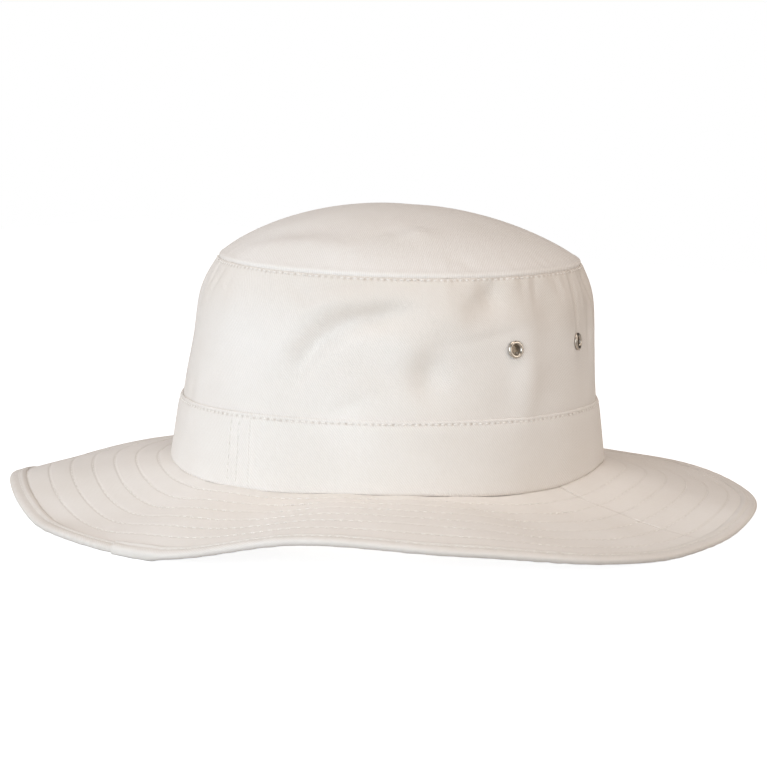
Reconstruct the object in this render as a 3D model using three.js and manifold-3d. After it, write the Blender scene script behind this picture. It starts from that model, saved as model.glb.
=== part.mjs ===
// A wide-brimmed sun hat of cream cotton twill, as it rests on a table.
// A domed oval panel closes the crown, a band goes round the crown's foot, and the brim is
// two halves with a binding folded over their edge. Each side of the crown has two eyelets.
//
// Millimetres, +Z up. The origin is on the table under the middle of the hat. Bearings are
// degrees round the hat: 0 is the end at -Y, 90 is the side at +X, 180 is the end at +Y.
import * as THREE from "three";
import { mergeVertices } from "three/addons/utils/BufferGeometryUtils.js";
import Module from "manifold-3d";

// Cloth and the air between neighbouring pieces
const CROWN_CLOTH = 1.4;
const BAND_CLOTH = 1.1;
const BRIM_CLOTH = 1.4;
const BRIM_CLOTH_IN_BINDING = 1.0;
const BINDING_CLOTH = 1.0;
const GAP = 0.3;
const BINDING_GAP = 0.5;

// Main heights: the brim's seam above the table, the band, and the dome above its own seam
const SEAM_HEIGHT = 18.7;
const BAND_HEIGHT = 28.5;
const DOME_HEIGHT = 22.7;
const DOME_FULLNESS = 2.05;
const DOME_SHOULDER = 0.85;
const DOME_LEAN = 1.8;
const DOME_LEAN_BEARING = -56;
const DOME_ROWS = [0, 0.06, 0.16, 0.3, 0.48, 0.7, 1];

// The dome's cloth slopes at its rim, so its inside there is lower and narrower than the cloth
// is thick. Both are shares of that thickness.
const DOME_RIM_DROP = 0.25;
const DOME_RIM_NARROWING = 0.5;

// The brim's cloth, measured outward from the foot of the band
const BRIM_WIDTH = 68;
const BINDING_WIDTH = 6.8;
const BINDING_ROLL = 1.3;
const BINDING_INNER_TURN = 0.2;
const BRIM_EDGE_ROOM = 0.6;
const SIDE_SEAM_BEARING = 91.5;
const SIDE_SEAM_OPENING = 0.05;

// Eyelets: nickel-coloured rings through the crown's side
const EYELET_HEIGHT = 56;
const EYELET_RADIUS = 3.6;
const EYELET_BARREL = 2.6;
const EYELET_BORE = 2.1;
const EYELET_RISE = 1.25;
const EYELET_RIM_RISE = 0.75;
const EYELET_MOUTH_RISE = 0.9;
const EYELET_SIDES = 12;
const EYELET_STAND = 0.5;
const WASHER_RADIUS = 3.4;
const WASHER_THICKNESS = 0.5;
const HOLE_RADIUS = EYELET_BARREL + GAP;
const HOLE_LENGTH = 11;
const HOLE_SIDES = 16;

// The hat's folds reach a little further at one side. This moves it back over the origin.
const MOVE_TO_MIDDLE = { x: -0.8, y: -0.1 };

// Level sections of the crown's cloth, from its foot to the top seam. setBack moves a
// section toward +Y, roundness is 2 for an ellipse and more for a boxier oval, and sway is
// how far the section rises and falls twice round the hat.
const CROWN_SECTIONS = [
  { height: 0, halfLength: 93.6, halfWidth: 86.6, setBack: 0, roundness: 2.25, sway: 0 },
  { height: 28.5, halfLength: 90.4, halfWidth: 84.9, setBack: 0, roundness: 2.15, sway: 1.5 },
  { height: 50, halfLength: 88.2, halfWidth: 83.5, setBack: 1.5, roundness: 2.1, sway: 1 },
  { height: 72, halfLength: 85.3, halfWidth: 81.2, setBack: 3, roundness: 2.1, sway: 0.5 },
  { height: 85.5, halfLength: 78.8, halfWidth: 75, setBack: 4.5, roundness: 2.1, sway: 0 },
];

// How the brim hangs, a row for each sixteenth of a turn. rise is the height of its seam
// against the mean, fall is its straight slope and curl the bend toward its edge, both as
// the drop over FOLD_WIDTH of cloth.
const FOLD_WIDTH = 66;
const CURL_POWER = 2.2;
const BRIM_FOLDS = [
  { bearing: 0, rise: -1.5, fall: 11, curl: 3.5 },
  { bearing: 22.5, rise: 1, fall: 0.5, curl: 3.5 },
  { bearing: 45, rise: 1, fall: -0.5, curl: 7.5 },
  { bearing: 67.5, rise: -1, fall: 14.5, curl: -2.5 },
  { bearing: 90, rise: -2, fall: 25.5, curl: -10 },
  { bearing: 112.5, rise: 0.5, fall: 18, curl: -3.5 },
  { bearing: 135, rise: -2, fall: 16.5, curl: -3 },
  { bearing: 157.5, rise: -4, fall: 16, curl: -4.5 },
  { bearing: 180, rise: -4, fall: 14.8, curl: -1 },
  { bearing: 202.5, rise: -3, fall: 10, curl: 3 },
  { bearing: 225, rise: -2, fall: 7, curl: 7 },
  { bearing: 247.5, rise: -2, fall: 4.5, curl: 10 },
  { bearing: 270, rise: -1.5, fall: 2.5, curl: 15.5 },
  { bearing: 292.5, rise: 0, fall: 0.5, curl: 16 },
  { bearing: 315, rise: 0.5, fall: 6.5, curl: 2 },
  { bearing: 337.5, rise: -1.5, fall: 25, curl: -9 },
];

// Soft dents and swells of the crown's side. A swell has a negative depth, and lean tips
// the long way of the dent from upright toward a rising bearing.
const CROWN_DENTS = [
  { bearing: 9.5, height: 50, depth: 3.0, halfWidth: 5.5, halfLength: 11, lean: 26 },
  { bearing: 17.5, height: 62, depth: 3.6, halfWidth: 5.5, halfLength: 10, lean: 56 },
  { bearing: 31, height: 69, depth: 3.4, halfWidth: 5.5, halfLength: 15, lean: 80 },
  { bearing: 3, height: 57, depth: -1.4, halfWidth: 5.5, halfLength: 12, lean: 26 },
  { bearing: 14, height: 74, depth: -1.5, halfWidth: 5.5, halfLength: 12, lean: 60 },
  { bearing: 45.5, height: 45, depth: 2.6, halfWidth: 9, halfLength: 7, lean: 80 },
  { bearing: 41, height: 57, depth: -1.0, halfWidth: 7, halfLength: 9, lean: 80 },
  { bearing: 48, height: 73, depth: -1.2, halfWidth: 12, halfLength: 11, lean: 0 },
  { bearing: 64, height: 78, depth: 2.8, halfWidth: 5.5, halfLength: 9, lean: 0 },
  { bearing: 76, height: 43, depth: -2.2, halfWidth: 7, halfLength: 15, lean: 0 },
  { bearing: 103, height: 62, depth: 1.1, halfWidth: 12, halfLength: 26, lean: 0 },
  { bearing: 190, height: 48, depth: 1.3, halfWidth: 9, halfLength: 24, lean: -20 },
  { bearing: 236, height: 60, depth: 1.5, halfWidth: 8, halfLength: 22, lean: 30 },
  { bearing: 282, height: 54, depth: 1.2, halfWidth: 8, halfLength: 24, lean: -12 },
];

const FOOT_HEIGHT = SEAM_HEIGHT + BRIM_CLOTH / 2 + GAP;
const TURN_STEPS = 84;
const radians = THREE.MathUtils.degToRad;

// The columns of a table at a place between its rows, on a smooth curve through them.
function between(rows, place, isRing) {
  const step = Math.floor(place);
  const share = place - step;
  const last = rows.length - 1;
  const rowAt = (index) =>
    isRing
      ? rows[THREE.MathUtils.euclideanModulo(index, rows.length)]
      : rows[THREE.MathUtils.clamp(index, 0, last)];
  const around = [step - 1, step, step + 1, step + 2].map(rowAt);
  const values = {};
  for (const column of Object.keys(rows[0])) {
    const [a, b, c, d] = around.map((row) => row[column]);
    const bend = (3 * (b - c) + d - a) * share + 2 * a - 5 * b + 4 * c - d;
    values[column] = b + 0.5 * share * (c - a + share * bend);
  }
  return values;
}

const brimFold = (bearing) => between(BRIM_FOLDS, (bearing / 360) * BRIM_FOLDS.length, true);

// A point on an oval and the direction straight out from it, both seen from above.
function ovalPoint(bearing, oval, outward) {
  const sine = Math.sin(radians(bearing));
  const cosine = Math.cos(radians(bearing));
  const sharpen = (value, power) => Math.sign(value) * Math.abs(value) ** power;
  const turn = 2 / oval.roundness;
  const normal = new THREE.Vector2(
    sharpen(sine, 2 - turn) / oval.halfWidth,
    -sharpen(cosine, 2 - turn) / oval.halfLength,
  ).normalize();
  return new THREE.Vector2(
    oval.halfWidth * sharpen(sine, turn),
    oval.setBack - oval.halfLength * sharpen(cosine, turn),
  ).addScaledVector(normal, outward);
}

// How deep the cloth of the crown's side is pressed in at a place.
function dentDepth(bearing, height, halfWidth) {
  let depth = 0;
  for (const dent of CROWN_DENTS) {
    const turn = THREE.MathUtils.euclideanModulo(bearing - dent.bearing + 180, 360) - 180;
    const across = radians(turn) * halfWidth;
    const up = height - dent.height;
    const lean = radians(dent.lean);
    const along = up * Math.cos(lean) + across * Math.sin(lean);
    const aside = across * Math.cos(lean) - up * Math.sin(lean);
    const spread = (aside / dent.halfWidth) ** 2 + (along / dent.halfLength) ** 2;
    depth += dent.depth * Math.exp(-spread);
  }
  return depth;
}

// A point on the crown's side at a share of the way from its foot to the top seam, moved
// outward from the cloth's outside.
function crownPoint(bearing, share, outward) {
  const section = between(CROWN_SECTIONS, share * (CROWN_SECTIONS.length - 1), false);
  const dent = dentDepth(bearing, section.height, section.halfWidth);
  const flat = ovalPoint(bearing, section, outward - dent);
  const footShare = Math.max(0, 1 - section.height / BAND_HEIGHT);
  const settle = footShare * brimFold(bearing).rise + section.sway * Math.sin(radians(2 * bearing));
  return new THREE.Vector3(flat.x, flat.y, FOOT_HEIGHT + section.height + settle);
}

// The share of the way up the crown's side at which its cloth reaches a height.
function shareAtHeight(height) {
  let low = 0;
  let high = 1;
  const halvings = 30;
  for (let halving = 0; halving < halvings; halving++) {
    const middle = (low + high) / 2;
    const section = between(CROWN_SECTIONS, middle * (CROWN_SECTIONS.length - 1), false);
    if (section.height < height) low = middle;
    else high = middle;
  }
  return (low + high) / 2;
}

// A point of the brim's middle layer, moved up or down by lift. Cloth that would sink below
// the table lies flat on it, with the binding's thickness under it.
const BINDING_DEPTH = BRIM_CLOTH_IN_BINDING / 2 + BINDING_GAP + BINDING_CLOTH;
const BAND_STAND = GAP + BAND_CLOTH;
const REACH_STEPS = 12;

function brimPoint(bearing, along, lift) {
  const fold = brimFold(bearing);
  const slopeAt = (cloth) =>
    (fold.fall + CURL_POWER * fold.curl * (cloth / FOLD_WIDTH) ** (CURL_POWER - 1)) / FOLD_WIDTH;
  let reach = Math.min(along, 0);
  let drop = 0;
  const step = Math.max(along, 0) / REACH_STEPS;
  for (let index = 0; index < REACH_STEPS; index++) {
    const slope = slopeAt((index + 0.5) * step);
    reach += step * Math.sqrt(1 - slope * slope);
    drop += step * slope;
  }
  const flat = ovalPoint(bearing, CROWN_SECTIONS[0], BAND_STAND + reach);
  const middle = Math.max(SEAM_HEIGHT + fold.rise - drop, BINDING_DEPTH);
  return new THREE.Vector3(flat.x, flat.y, Math.max(middle + lift, 0));
}

const shares = (count) => Array.from({ length: count + 1 }, (_, index) => index / count);

// A sheet of cloth as a solid: outside and inside give a point for a bearing and a share,
// and the two skins are closed along their edges. A ring joins its own start, an arc gets
// two end faces, and a capped sheet ends in one point at share 1.
function clothGeometry({ from, to, steps, rows, outside, inside, isCapped = false }) {
  const isRing = to - from === 360;
  const columns = isRing ? steps : steps + 1;
  const bearings = Array.from({ length: columns }, (_, i) => from + ((to - from) * i) / steps);
  const ringRows = isCapped ? rows.slice(0, -1) : rows;
  const points = [];
  const faces = [];
  const grid = [outside, inside].map((skin) =>
    ringRows.map((row) => bearings.map((bearing) => points.push(skin(bearing, row)) - 1)),
  );
  const quad = (a, b, c, d) => faces.push(a, b, c, a, c, d);
  const topRow = ringRows.length - 1;
  const next = (column) => (column + 1) % columns;
  for (let column = 0; column < steps; column++) {
    const right = next(column);
    for (let row = 0; row < topRow; row++) {
      const [outer, inner] = grid;
      quad(outer[row][column], outer[row][right], outer[row + 1][right], outer[row + 1][column]);
      quad(inner[row][right], inner[row][column], inner[row + 1][column], inner[row + 1][right]);
    }
    quad(grid[1][0][column], grid[1][0][right], grid[0][0][right], grid[0][0][column]);
    if (!isCapped) {
      quad(grid[0][topRow][column], grid[0][topRow][right], grid[1][topRow][right], grid[1][topRow][column]);
    }
  }
  if (isCapped) {
    const tips = [outside, inside].map((skin) => points.push(skin(0, rows[rows.length - 1])) - 1);
    for (let column = 0; column < steps; column++) {
      faces.push(grid[0][topRow][column], grid[0][topRow][next(column)], tips[0]);
      faces.push(grid[1][topRow][next(column)], grid[1][topRow][column], tips[1]);
    }
  }
  if (!isRing) {
    for (let row = 0; row < topRow; row++) {
      quad(grid[0][row][0], grid[0][row + 1][0], grid[1][row + 1][0], grid[1][row][0]);
      quad(grid[1][row][steps], grid[1][row + 1][steps], grid[0][row + 1][steps], grid[0][row][steps]);
    }
  }
  const geometry = new THREE.BufferGeometry().setFromPoints(points);
  geometry.setIndex(faces);
  return geometry;
}

const wholeTurn = { from: 0, to: 360, steps: TURN_STEPS };

const hat = new THREE.Group();
hat.position.set(MOVE_TO_MIDDLE.x, MOVE_TO_MIDDLE.y, 0);

function addPiece(name, geometry, material) {
  geometry.computeVertexNormals();
  const piece = new THREE.Mesh(geometry, material);
  piece.name = name;
  hat.add(piece);
  return piece;
}

// Finishes
const twill = new THREE.MeshStandardMaterial({ color: 0xebe5de, roughness: 0.9, metalness: 0 });
const brimTwill = new THREE.MeshStandardMaterial({ color: 0xe2d9d0, roughness: 0.92, metalness: 0 });
const bindingTwill = new THREE.MeshStandardMaterial({ color: 0xe6ddd5, roughness: 0.9, metalness: 0 });
const nickel = new THREE.MeshStandardMaterial({ color: 0xb9b4ab, roughness: 0.3, metalness: 1 });

// The domed top panel lies on the side's upper edge. Share 0 is its rim, 1 its middle.
const TOP_SECTION = CROWN_SECTIONS[CROWN_SECTIONS.length - 1];
const TOP_HEIGHT = FOOT_HEIGHT + TOP_SECTION.height;

function domePoint(bearing, share, drop) {
  const spread = 1 - share;
  const flat = ovalPoint(bearing, { ...TOP_SECTION, setBack: 0 }, 0).multiplyScalar(spread);
  const swell = (1 - spread ** DOME_FULLNESS) ** DOME_SHOULDER;
  const lean = spread * Math.cos(radians(bearing - DOME_LEAN_BEARING)) * DOME_LEAN * swell;
  const narrowing = drop * DOME_RIM_NARROWING;
  return new THREE.Vector3(
    flat.x * (1 - narrowing / TOP_SECTION.halfWidth),
    TOP_SECTION.setBack + flat.y * (1 - narrowing / TOP_SECTION.halfLength),
    TOP_HEIGHT + DOME_HEIGHT * swell + lean - drop * (1 + DOME_RIM_DROP * spread * spread),
  );
}

addPiece(
  "crown_top",
  clothGeometry({
    ...wholeTurn,
    rows: DOME_ROWS,
    outside: (bearing, share) => domePoint(bearing, share, 0),
    inside: (bearing, share) => domePoint(bearing, share, CROWN_CLOTH),
    isCapped: true,
  }),
  twill,
);

// The crown's side stands on the brim and stops under the top panel.
const sideHigh = shareAtHeight(TOP_SECTION.height - CROWN_CLOTH * (1 + DOME_RIM_DROP) - GAP);
const sideRows = shares(7).map((share) => sideHigh * share);
const sideGeometry = clothGeometry({
  ...wholeTurn,
  rows: sideRows,
  outside: (bearing, share) => crownPoint(bearing, share, 0),
  inside: (bearing, share) => crownPoint(bearing, share, -CROWN_CLOTH),
});

// Where an eyelet sits on the crown's side, and the direction straight out of the cloth
const eyeletShare = shareAtHeight(EYELET_HEIGHT);
const EYELETS = [
  { name: "eyelet_left_front", bearing: 71 },
  { name: "eyelet_left_rear", bearing: 99.5 },
  { name: "eyelet_right_front", bearing: -71 },
  { name: "eyelet_right_rear", bearing: -99.5 },
];

function eyeletPlace(bearing) {
  const middle = crownPoint(bearing, eyeletShare, 0);
  const turnStep = 2;
  const shareStep = 0.03;
  const round = crownPoint(bearing + turnStep, eyeletShare, 0);
  round.sub(crownPoint(bearing - turnStep, eyeletShare, 0));
  const rise = crownPoint(bearing, eyeletShare + shareStep, 0);
  rise.sub(crownPoint(bearing, eyeletShare - shareStep, 0));
  const outward = round.cross(rise).normalize();
  const turn = new THREE.Quaternion().setFromUnitVectors(new THREE.Vector3(0, 1, 0), outward);
  return new THREE.Matrix4().compose(middle, turn, new THREE.Vector3(1, 1, 1));
}

// Holes cut through the cloth for the eyelets
const wasm = await Module();
wasm.setup();

function solidOf(geometry) {
  const bare = geometry.clone();
  bare.deleteAttribute("normal");
  bare.deleteAttribute("uv");
  const merged = mergeVertices(bare, 1e-4);
  return new wasm.Manifold(
    new wasm.Mesh({
      numProp: 3,
      vertProperties: new Float32Array(merged.attributes.position.array),
      triVerts: new Uint32Array(merged.index.array),
    }),
  );
}

function geometryOf(solid) {
  const mesh = solid.getMesh();
  const geometry = new THREE.BufferGeometry();
  geometry.setAttribute("position", new THREE.BufferAttribute(mesh.vertProperties, 3));
  geometry.setIndex(new THREE.BufferAttribute(mesh.triVerts, 1));
  return geometry;
}

const drill = new THREE.CylinderGeometry(HOLE_RADIUS, HOLE_RADIUS, HOLE_LENGTH, HOLE_SIDES);
const drilledSide = EYELETS.reduce(
  (side, eyelet) => side.subtract(solidOf(drill.clone().applyMatrix4(eyeletPlace(eyelet.bearing)))),
  solidOf(sideGeometry),
);
addPiece("crown_side", geometryOf(drilledSide), twill);

// The band round the crown's foot, its top edge a fold that is a little thinner
const bandHigh = shareAtHeight(BAND_HEIGHT);
addPiece(
  "hat_band",
  clothGeometry({
    ...wholeTurn,
    rows: shares(3).map((share) => bandHigh * share),
    outside: (bearing, share) => crownPoint(bearing, share, BAND_STAND),
    inside: (bearing, share) => crownPoint(bearing, share, GAP),
  }),
  twill,
);

// The brim's halves meet in a seam on each side. Their rows run from the outer edge, inside
// the binding, to the inner edge under the crown.
const brimInner = -(BAND_STAND + CROWN_CLOTH);
const lip = BRIM_WIDTH - BINDING_WIDTH;
const brimOuter = BRIM_WIDTH - BINDING_ROLL - BRIM_EDGE_ROOM;
const brimRows = [brimOuter, ...shares(4).map((share) => lip * (1 - share)), brimInner];
const HALVES = [
  { name: "brim_front", from: -SIDE_SEAM_BEARING, to: SIDE_SEAM_BEARING },
  { name: "brim_back", from: SIDE_SEAM_BEARING, to: 360 - SIDE_SEAM_BEARING },
];
const halfThickness = (along) => (along < lip ? BRIM_CLOTH : BRIM_CLOTH_IN_BINDING) / 2;
for (const half of HALVES) {
  addPiece(
    half.name,
    clothGeometry({
      from: half.from + SIDE_SEAM_OPENING,
      to: half.to - SIDE_SEAM_OPENING,
      steps: TURN_STEPS / 2,
      rows: brimRows,
      outside: (bearing, along) => brimPoint(bearing, along, halfThickness(along)),
      inside: (bearing, along) => brimPoint(bearing, along, -halfThickness(along)),
    }),
    brimTwill,
  );
}

// The binding's path round the brim's edge, from its lower lip to its upper one: how far
// out along the brim, and how far above or below the brim's middle
const bend = BRIM_WIDTH - BINDING_ROLL;
const innerBend = bend - BINDING_INNER_TURN;
const innerDepth = BINDING_DEPTH - BINDING_CLOTH;
const BINDING_PATH = [
  { along: lip, lift: -BINDING_DEPTH, innerAlong: lip, innerLift: -innerDepth },
  { along: bend, lift: -BINDING_DEPTH, innerAlong: innerBend, innerLift: -innerDepth },
  { along: BRIM_WIDTH, lift: 0, innerAlong: BRIM_WIDTH - BINDING_CLOTH, innerLift: 0 },
  { along: bend, lift: BINDING_DEPTH, innerAlong: innerBend, innerLift: innerDepth },
  { along: lip, lift: BINDING_DEPTH, innerAlong: lip, innerLift: innerDepth },
];
addPiece(
  "brim_binding",
  clothGeometry({
    ...wholeTurn,
    rows: BINDING_PATH,
    outside: (bearing, stop) => brimPoint(bearing, stop.along, stop.lift),
    inside: (bearing, stop) => brimPoint(bearing, stop.innerAlong, stop.innerLift),
  }),
  bindingTwill,
);

// An eyelet is a rolled rim outside, a barrel through the cloth and a flat washer inside. Its
// profile goes from the mouth of the bore down through it and back up round the outside.
const washerTop = -(CROWN_CLOTH + EYELET_STAND);
const EYELET_PROFILE = [
  { radius: EYELET_BORE, height: EYELET_MOUTH_RISE },
  { radius: EYELET_BORE, height: washerTop - WASHER_THICKNESS },
  { radius: WASHER_RADIUS, height: washerTop - WASHER_THICKNESS },
  { radius: WASHER_RADIUS, height: washerTop },
  { radius: EYELET_BARREL, height: washerTop },
  { radius: EYELET_BARREL, height: EYELET_STAND },
  { radius: EYELET_RADIUS, height: EYELET_STAND },
  { radius: EYELET_RADIUS, height: EYELET_RIM_RISE },
  { radius: (EYELET_RADIUS + EYELET_BORE) / 2, height: EYELET_RISE },
  { radius: EYELET_BORE, height: EYELET_MOUTH_RISE },
];
const eyeletProfile = EYELET_PROFILE.map((stop) => new THREE.Vector2(stop.radius, stop.height));
for (const eyelet of EYELETS) {
  const ring = addPiece(eyelet.name, new THREE.LatheGeometry(eyeletProfile, EYELET_SIDES), nickel);
  ring.applyMatrix4(eyeletPlace(eyelet.bearing));
}

export default hat;
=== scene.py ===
import math

import bpy
import numpy as np
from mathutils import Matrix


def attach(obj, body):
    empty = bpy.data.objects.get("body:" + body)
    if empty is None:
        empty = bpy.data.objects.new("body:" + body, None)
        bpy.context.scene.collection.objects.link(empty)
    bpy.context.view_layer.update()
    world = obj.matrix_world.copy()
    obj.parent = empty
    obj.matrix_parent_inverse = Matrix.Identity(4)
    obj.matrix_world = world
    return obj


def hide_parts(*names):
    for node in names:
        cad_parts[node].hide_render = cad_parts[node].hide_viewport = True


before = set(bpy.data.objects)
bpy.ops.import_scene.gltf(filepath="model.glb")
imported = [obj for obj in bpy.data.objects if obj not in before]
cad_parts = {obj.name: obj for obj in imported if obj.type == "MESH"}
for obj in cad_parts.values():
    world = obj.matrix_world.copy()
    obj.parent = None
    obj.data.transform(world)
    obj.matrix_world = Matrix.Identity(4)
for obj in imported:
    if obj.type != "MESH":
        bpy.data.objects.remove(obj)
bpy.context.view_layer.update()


# Camera: a long lens about a metre away and 20 centimetres above the table, looking a little
# down at the hat. It is held slightly turned.
CAMERA_PLACE = (0.56705, -0.82911, 0.20467)
CAMERA_TURNS = (81.277, -1.585, 34.845)

camera_lens = bpy.data.cameras.new("camera")
camera_lens.lens = 110.68
camera_lens.sensor_width = 36
camera = bpy.data.objects.new("camera", camera_lens)
camera.location = CAMERA_PLACE
camera.rotation_euler = [math.radians(turn) for turn in CAMERA_TURNS]
bpy.context.scene.collection.objects.link(camera)
bpy.context.scene.camera = camera


# Table: a plain white sheet of card two metres square. The picture is exposed for the hat,
# so the card looks almost pure white, and this glow of it lights nothing.
TABLE_HALF_SIDE = 1.0
TABLE_GLOW = 0.9

table_mesh = bpy.data.meshes.new("table")
table_signs = [(-1, -1), (1, -1), (1, 1), (-1, 1)]
table_corners = [(x * TABLE_HALF_SIDE, y * TABLE_HALF_SIDE, 0) for x, y in table_signs]
table_mesh.from_pydata(table_corners, [], [(0, 1, 2, 3)])
table = bpy.data.objects.new("table", table_mesh)
bpy.context.scene.collection.objects.link(table)
table_card = bpy.data.materials.new("white_card")
table_card.use_nodes = True
table_paint = table_card.node_tree.nodes["Principled BSDF"]
table_paint.inputs["Base Color"].default_value = (0.6, 0.6, 0.6, 1)
table_paint.inputs["Roughness"].default_value = 0.9
table_paint.inputs["Emission Strength"].default_value = TABLE_GLOW
table_rays = table_card.node_tree.nodes.new("ShaderNodeLightPath")
table_card.node_tree.links.new(
    table_rays.outputs["Is Camera Ray"], table_paint.inputs["Emission Color"]
)
table_mesh.materials.append(table_card)


# Studio light: four soft boxes round the hat and a white room that only the camera sees. The
# front one is low and cool, and the others are warmer, so the shaded side turns to cream.
LAMP_DISTANCE = 1.7
LAMP_AIM_HEIGHT = 0.06
LAMP_TALLNESS = 1.1
# Each box's bearing and height in degrees, width in metres, watts and colour
LAMPS = {
    "front_box": (2, 12, 2.2, 35.8, (0.85, 0.925, 1)),
    "left_box": (-90, 17, 1.1, 7, (1, 0.89, 0.835)),
    "right_box": (110, 20, 1.1, 12.4, (1, 0.915, 0.845)),
    "top_box": (50, 82, 1.1, 13.2, (1, 0.905, 0.845)),
}
GLOW_HEIGHT = 0.095

for lamp_name, (bearing, height, width, watts, colour) in LAMPS.items():
    light = bpy.data.lights.new(lamp_name, "AREA")
    light.shape = "RECTANGLE"
    light.size = width
    light.size_y = LAMP_TALLNESS
    light.energy = watts
    light.color = colour
    lamp_object = bpy.data.objects.new(lamp_name, light)
    turn = math.radians(bearing)
    rise = math.radians(height)
    lamp_object.location = (
        LAMP_DISTANCE * math.sin(turn) * math.cos(rise),
        -LAMP_DISTANCE * math.cos(turn) * math.cos(rise),
        LAMP_DISTANCE * math.sin(rise) + LAMP_AIM_HEIGHT,
    )
    lamp_object.rotation_euler = (math.pi / 2 - rise, 0, turn)
    bpy.context.scene.collection.objects.link(lamp_object)

# The thin cloth lets some light through, so it is never black inside the crown.
glow = bpy.data.lights.new("light_through_cloth", "POINT")
glow.energy = 0.05
glow.color = (1, 0.9, 0.78)
glow.shadow_soft_size = 0.02
glow_object = bpy.data.objects.new("light_through_cloth", glow)
glow_object.location = (0, 0, GLOW_HEIGHT)
bpy.context.scene.collection.objects.link(glow_object)

room = bpy.data.worlds.new("white_room")
room.use_nodes = True
room_nodes = room.node_tree.nodes
room_rays = room_nodes.new("ShaderNodeLightPath")
room_colour = room_nodes["Background"].inputs["Color"]
room.node_tree.links.new(room_rays.outputs["Is Camera Ray"], room_colour)
bpy.context.scene.world = room
bpy.context.scene.view_settings.view_transform = "Standard"


# Crown side: one upright strip of twill round the head, 1.4 mm thick with its facing. It is
# gathered slightly into the top seam, and its cloth is creased from being packed flat.
FOOT_HEIGHT = 19.7
BAND_HEIGHT = 28.5
CROWN_CLOTH = 1.4
# Points are worked out from the middle of the crown's foot. This moves them, along X and Y,
# so that the brim's outline has its middle at the origin.
MOVE_TO_MIDDLE = (-0.8, -0.1)
# Level sections give the crown's form: height, half length along Y, half width along X, set
# back toward +Y, roundness (2 is an ellipse) and sway, the rise and fall twice round the hat.
CROWN_SECTIONS = [
    (0, 93.6, 86.6, 0, 2.25, 0),
    (28.5, 90.4, 84.9, 0, 2.15, 1.5),
    (50, 88.2, 83.5, 1.5, 2.1, 1),
    (72, 85.3, 81.2, 3, 2.1, 0.5),
    (85.5, 78.8, 75, 4.5, 2.1, 0),
]
# How the brim hangs at each sixteenth of a turn: its seam's rise, its fall and its curl.
BRIM_FOLDS = [
    (-1.5, 11, 3.5),
    (1, 0.5, 3.5),
    (1, -0.5, 7.5),
    (-1, 14.5, -2.5),
    (-2, 25.5, -10),
    (0.5, 18, -3.5),
    (-2, 16.5, -3),
    (-4, 16, -4.5),
    (-4, 14.8, -1),
    (-3, 10, 3),
    (-2, 7, 7),
    (-2, 4.5, 10),
    (-1.5, 2.5, 15.5),
    (0, 0.5, 16),
    (0.5, 6.5, 2),
    (-1.5, 25, -9),
]
# Folds of the cloth: bearing, height, depth, half width, half length and lean from upright
# toward a rising bearing. A swell has a negative depth. The long valley over the front, the
# dent before the eyelets and the ridge behind it come first, then those of the far side.
CROWN_FOLDS = [
    (9.5, 50, 3.0, 5.5, 11, 26),
    (17.5, 62, 3.6, 5.5, 10, 56),
    (31, 69, 3.4, 5.5, 15, 80),
    (3, 57, -1.4, 5.5, 12, 26),
    (14, 74, -1.5, 5.5, 12, 60),
    (45.5, 45, 2.6, 9, 7, 80),
    (41, 57, -1.0, 7, 9, 80),
    (48, 73, -1.2, 12, 11, 0),
    (64, 78, 2.8, 5.5, 9, 0),
    (76, 43, -2.2, 7, 15, 0),
    (103, 62, 1.1, 12, 26, 0),
    (190, 48, 1.3, 9, 24, -20),
    (236, 60, 1.5, 8, 22, 30),
    (282, 54, 1.2, 8, 24, -12),
]
# Creases and slight swells, with the same columns.
CROWN_CREASES = [
    (12, 58, 0.8, 4, 9, 40),
    (27, 69, 0.9, 4, 12, 75),
    (20, 77, -0.7, 5, 12, 65),
    (50, 44, 0.5, 9, 12, 0),
    (54, 74, -0.6, 13, 9, 0),
    (58.5, 72.5, 1.9, 7, 6, 85),
    (49, 75, 1.3, 12, 7, 0),
    (67, 75, 1.5, 12, 7, 0),
    (85, 75, 0.8, 8, 7, 0),
    (84, 70, 1.3, 8, 14, 0),
    (107, 76, 0.8, 6, 9, 0),
    (22.5, 33, 0.8, 3, 9, 65),
    (62, 61, 0.35, 2.2, 18, 80),
    (5.5, 77.5, 0.9, 2.4, 7, -63),
    (77, 78, 0.5, 8, 8, 0),
    (81, 80, 0.7, 2.6, 7, 4),
    (91, 80, 0.5, 2, 7, -4),
    (100, 74, 1.5, 2.2, 12, -2),
    (106, 76, -0.6, 2.5, 10, 0),
    (114, 78, 1.4, 2.4, 8, -25),
    (111, 62, 0.9, 3, 14, 4),
    (-38, 80, 0.8, 2, 6, -15),
    (-31, 79, 0.6, 2, 8, 10),
    (-23, 80, 0.5, 2.5, 7, -12),
    (-12, 79, 0.4, 2.5, 8, -16),
    (-45, 60, 0.6, 4, 20, 4),
    (-34, 32, 0.5, 4, 9, 10),
    (150, 78, 0.8, 2.5, 9, 8),
    (171, 79, 0.7, 2.2, 8, -10),
    (205, 78, 0.8, 2.4, 9, 6),
    (222, 80, 0.7, 2.2, 7, -14),
    (254, 79, 0.8, 2.4, 8, 10),
    (300, 79, 0.7, 2.4, 8, -8),
]
# The folds fade out toward the top seam, over about this height below it.
SEAM_HOLD = 3


def along_table(rows, place, is_ring=False):
    """The columns of a table at places between its rows, on a smooth curve through them."""
    rows = np.asarray(rows, float)
    step = np.floor(place).astype(int)
    share = (place - step)[..., None]

    def row(offset):
        index = step + offset
        return rows[index % len(rows)] if is_ring else rows[np.clip(index, 0, len(rows) - 1)]

    before, here, after, beyond = row(-1), row(0), row(1), row(2)
    bend = (3 * (here - after) + beyond - before) * share
    bend = bend + 2 * before - 5 * here + 4 * after - beyond
    return here + 0.5 * share * (after - before + share * bend)


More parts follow.
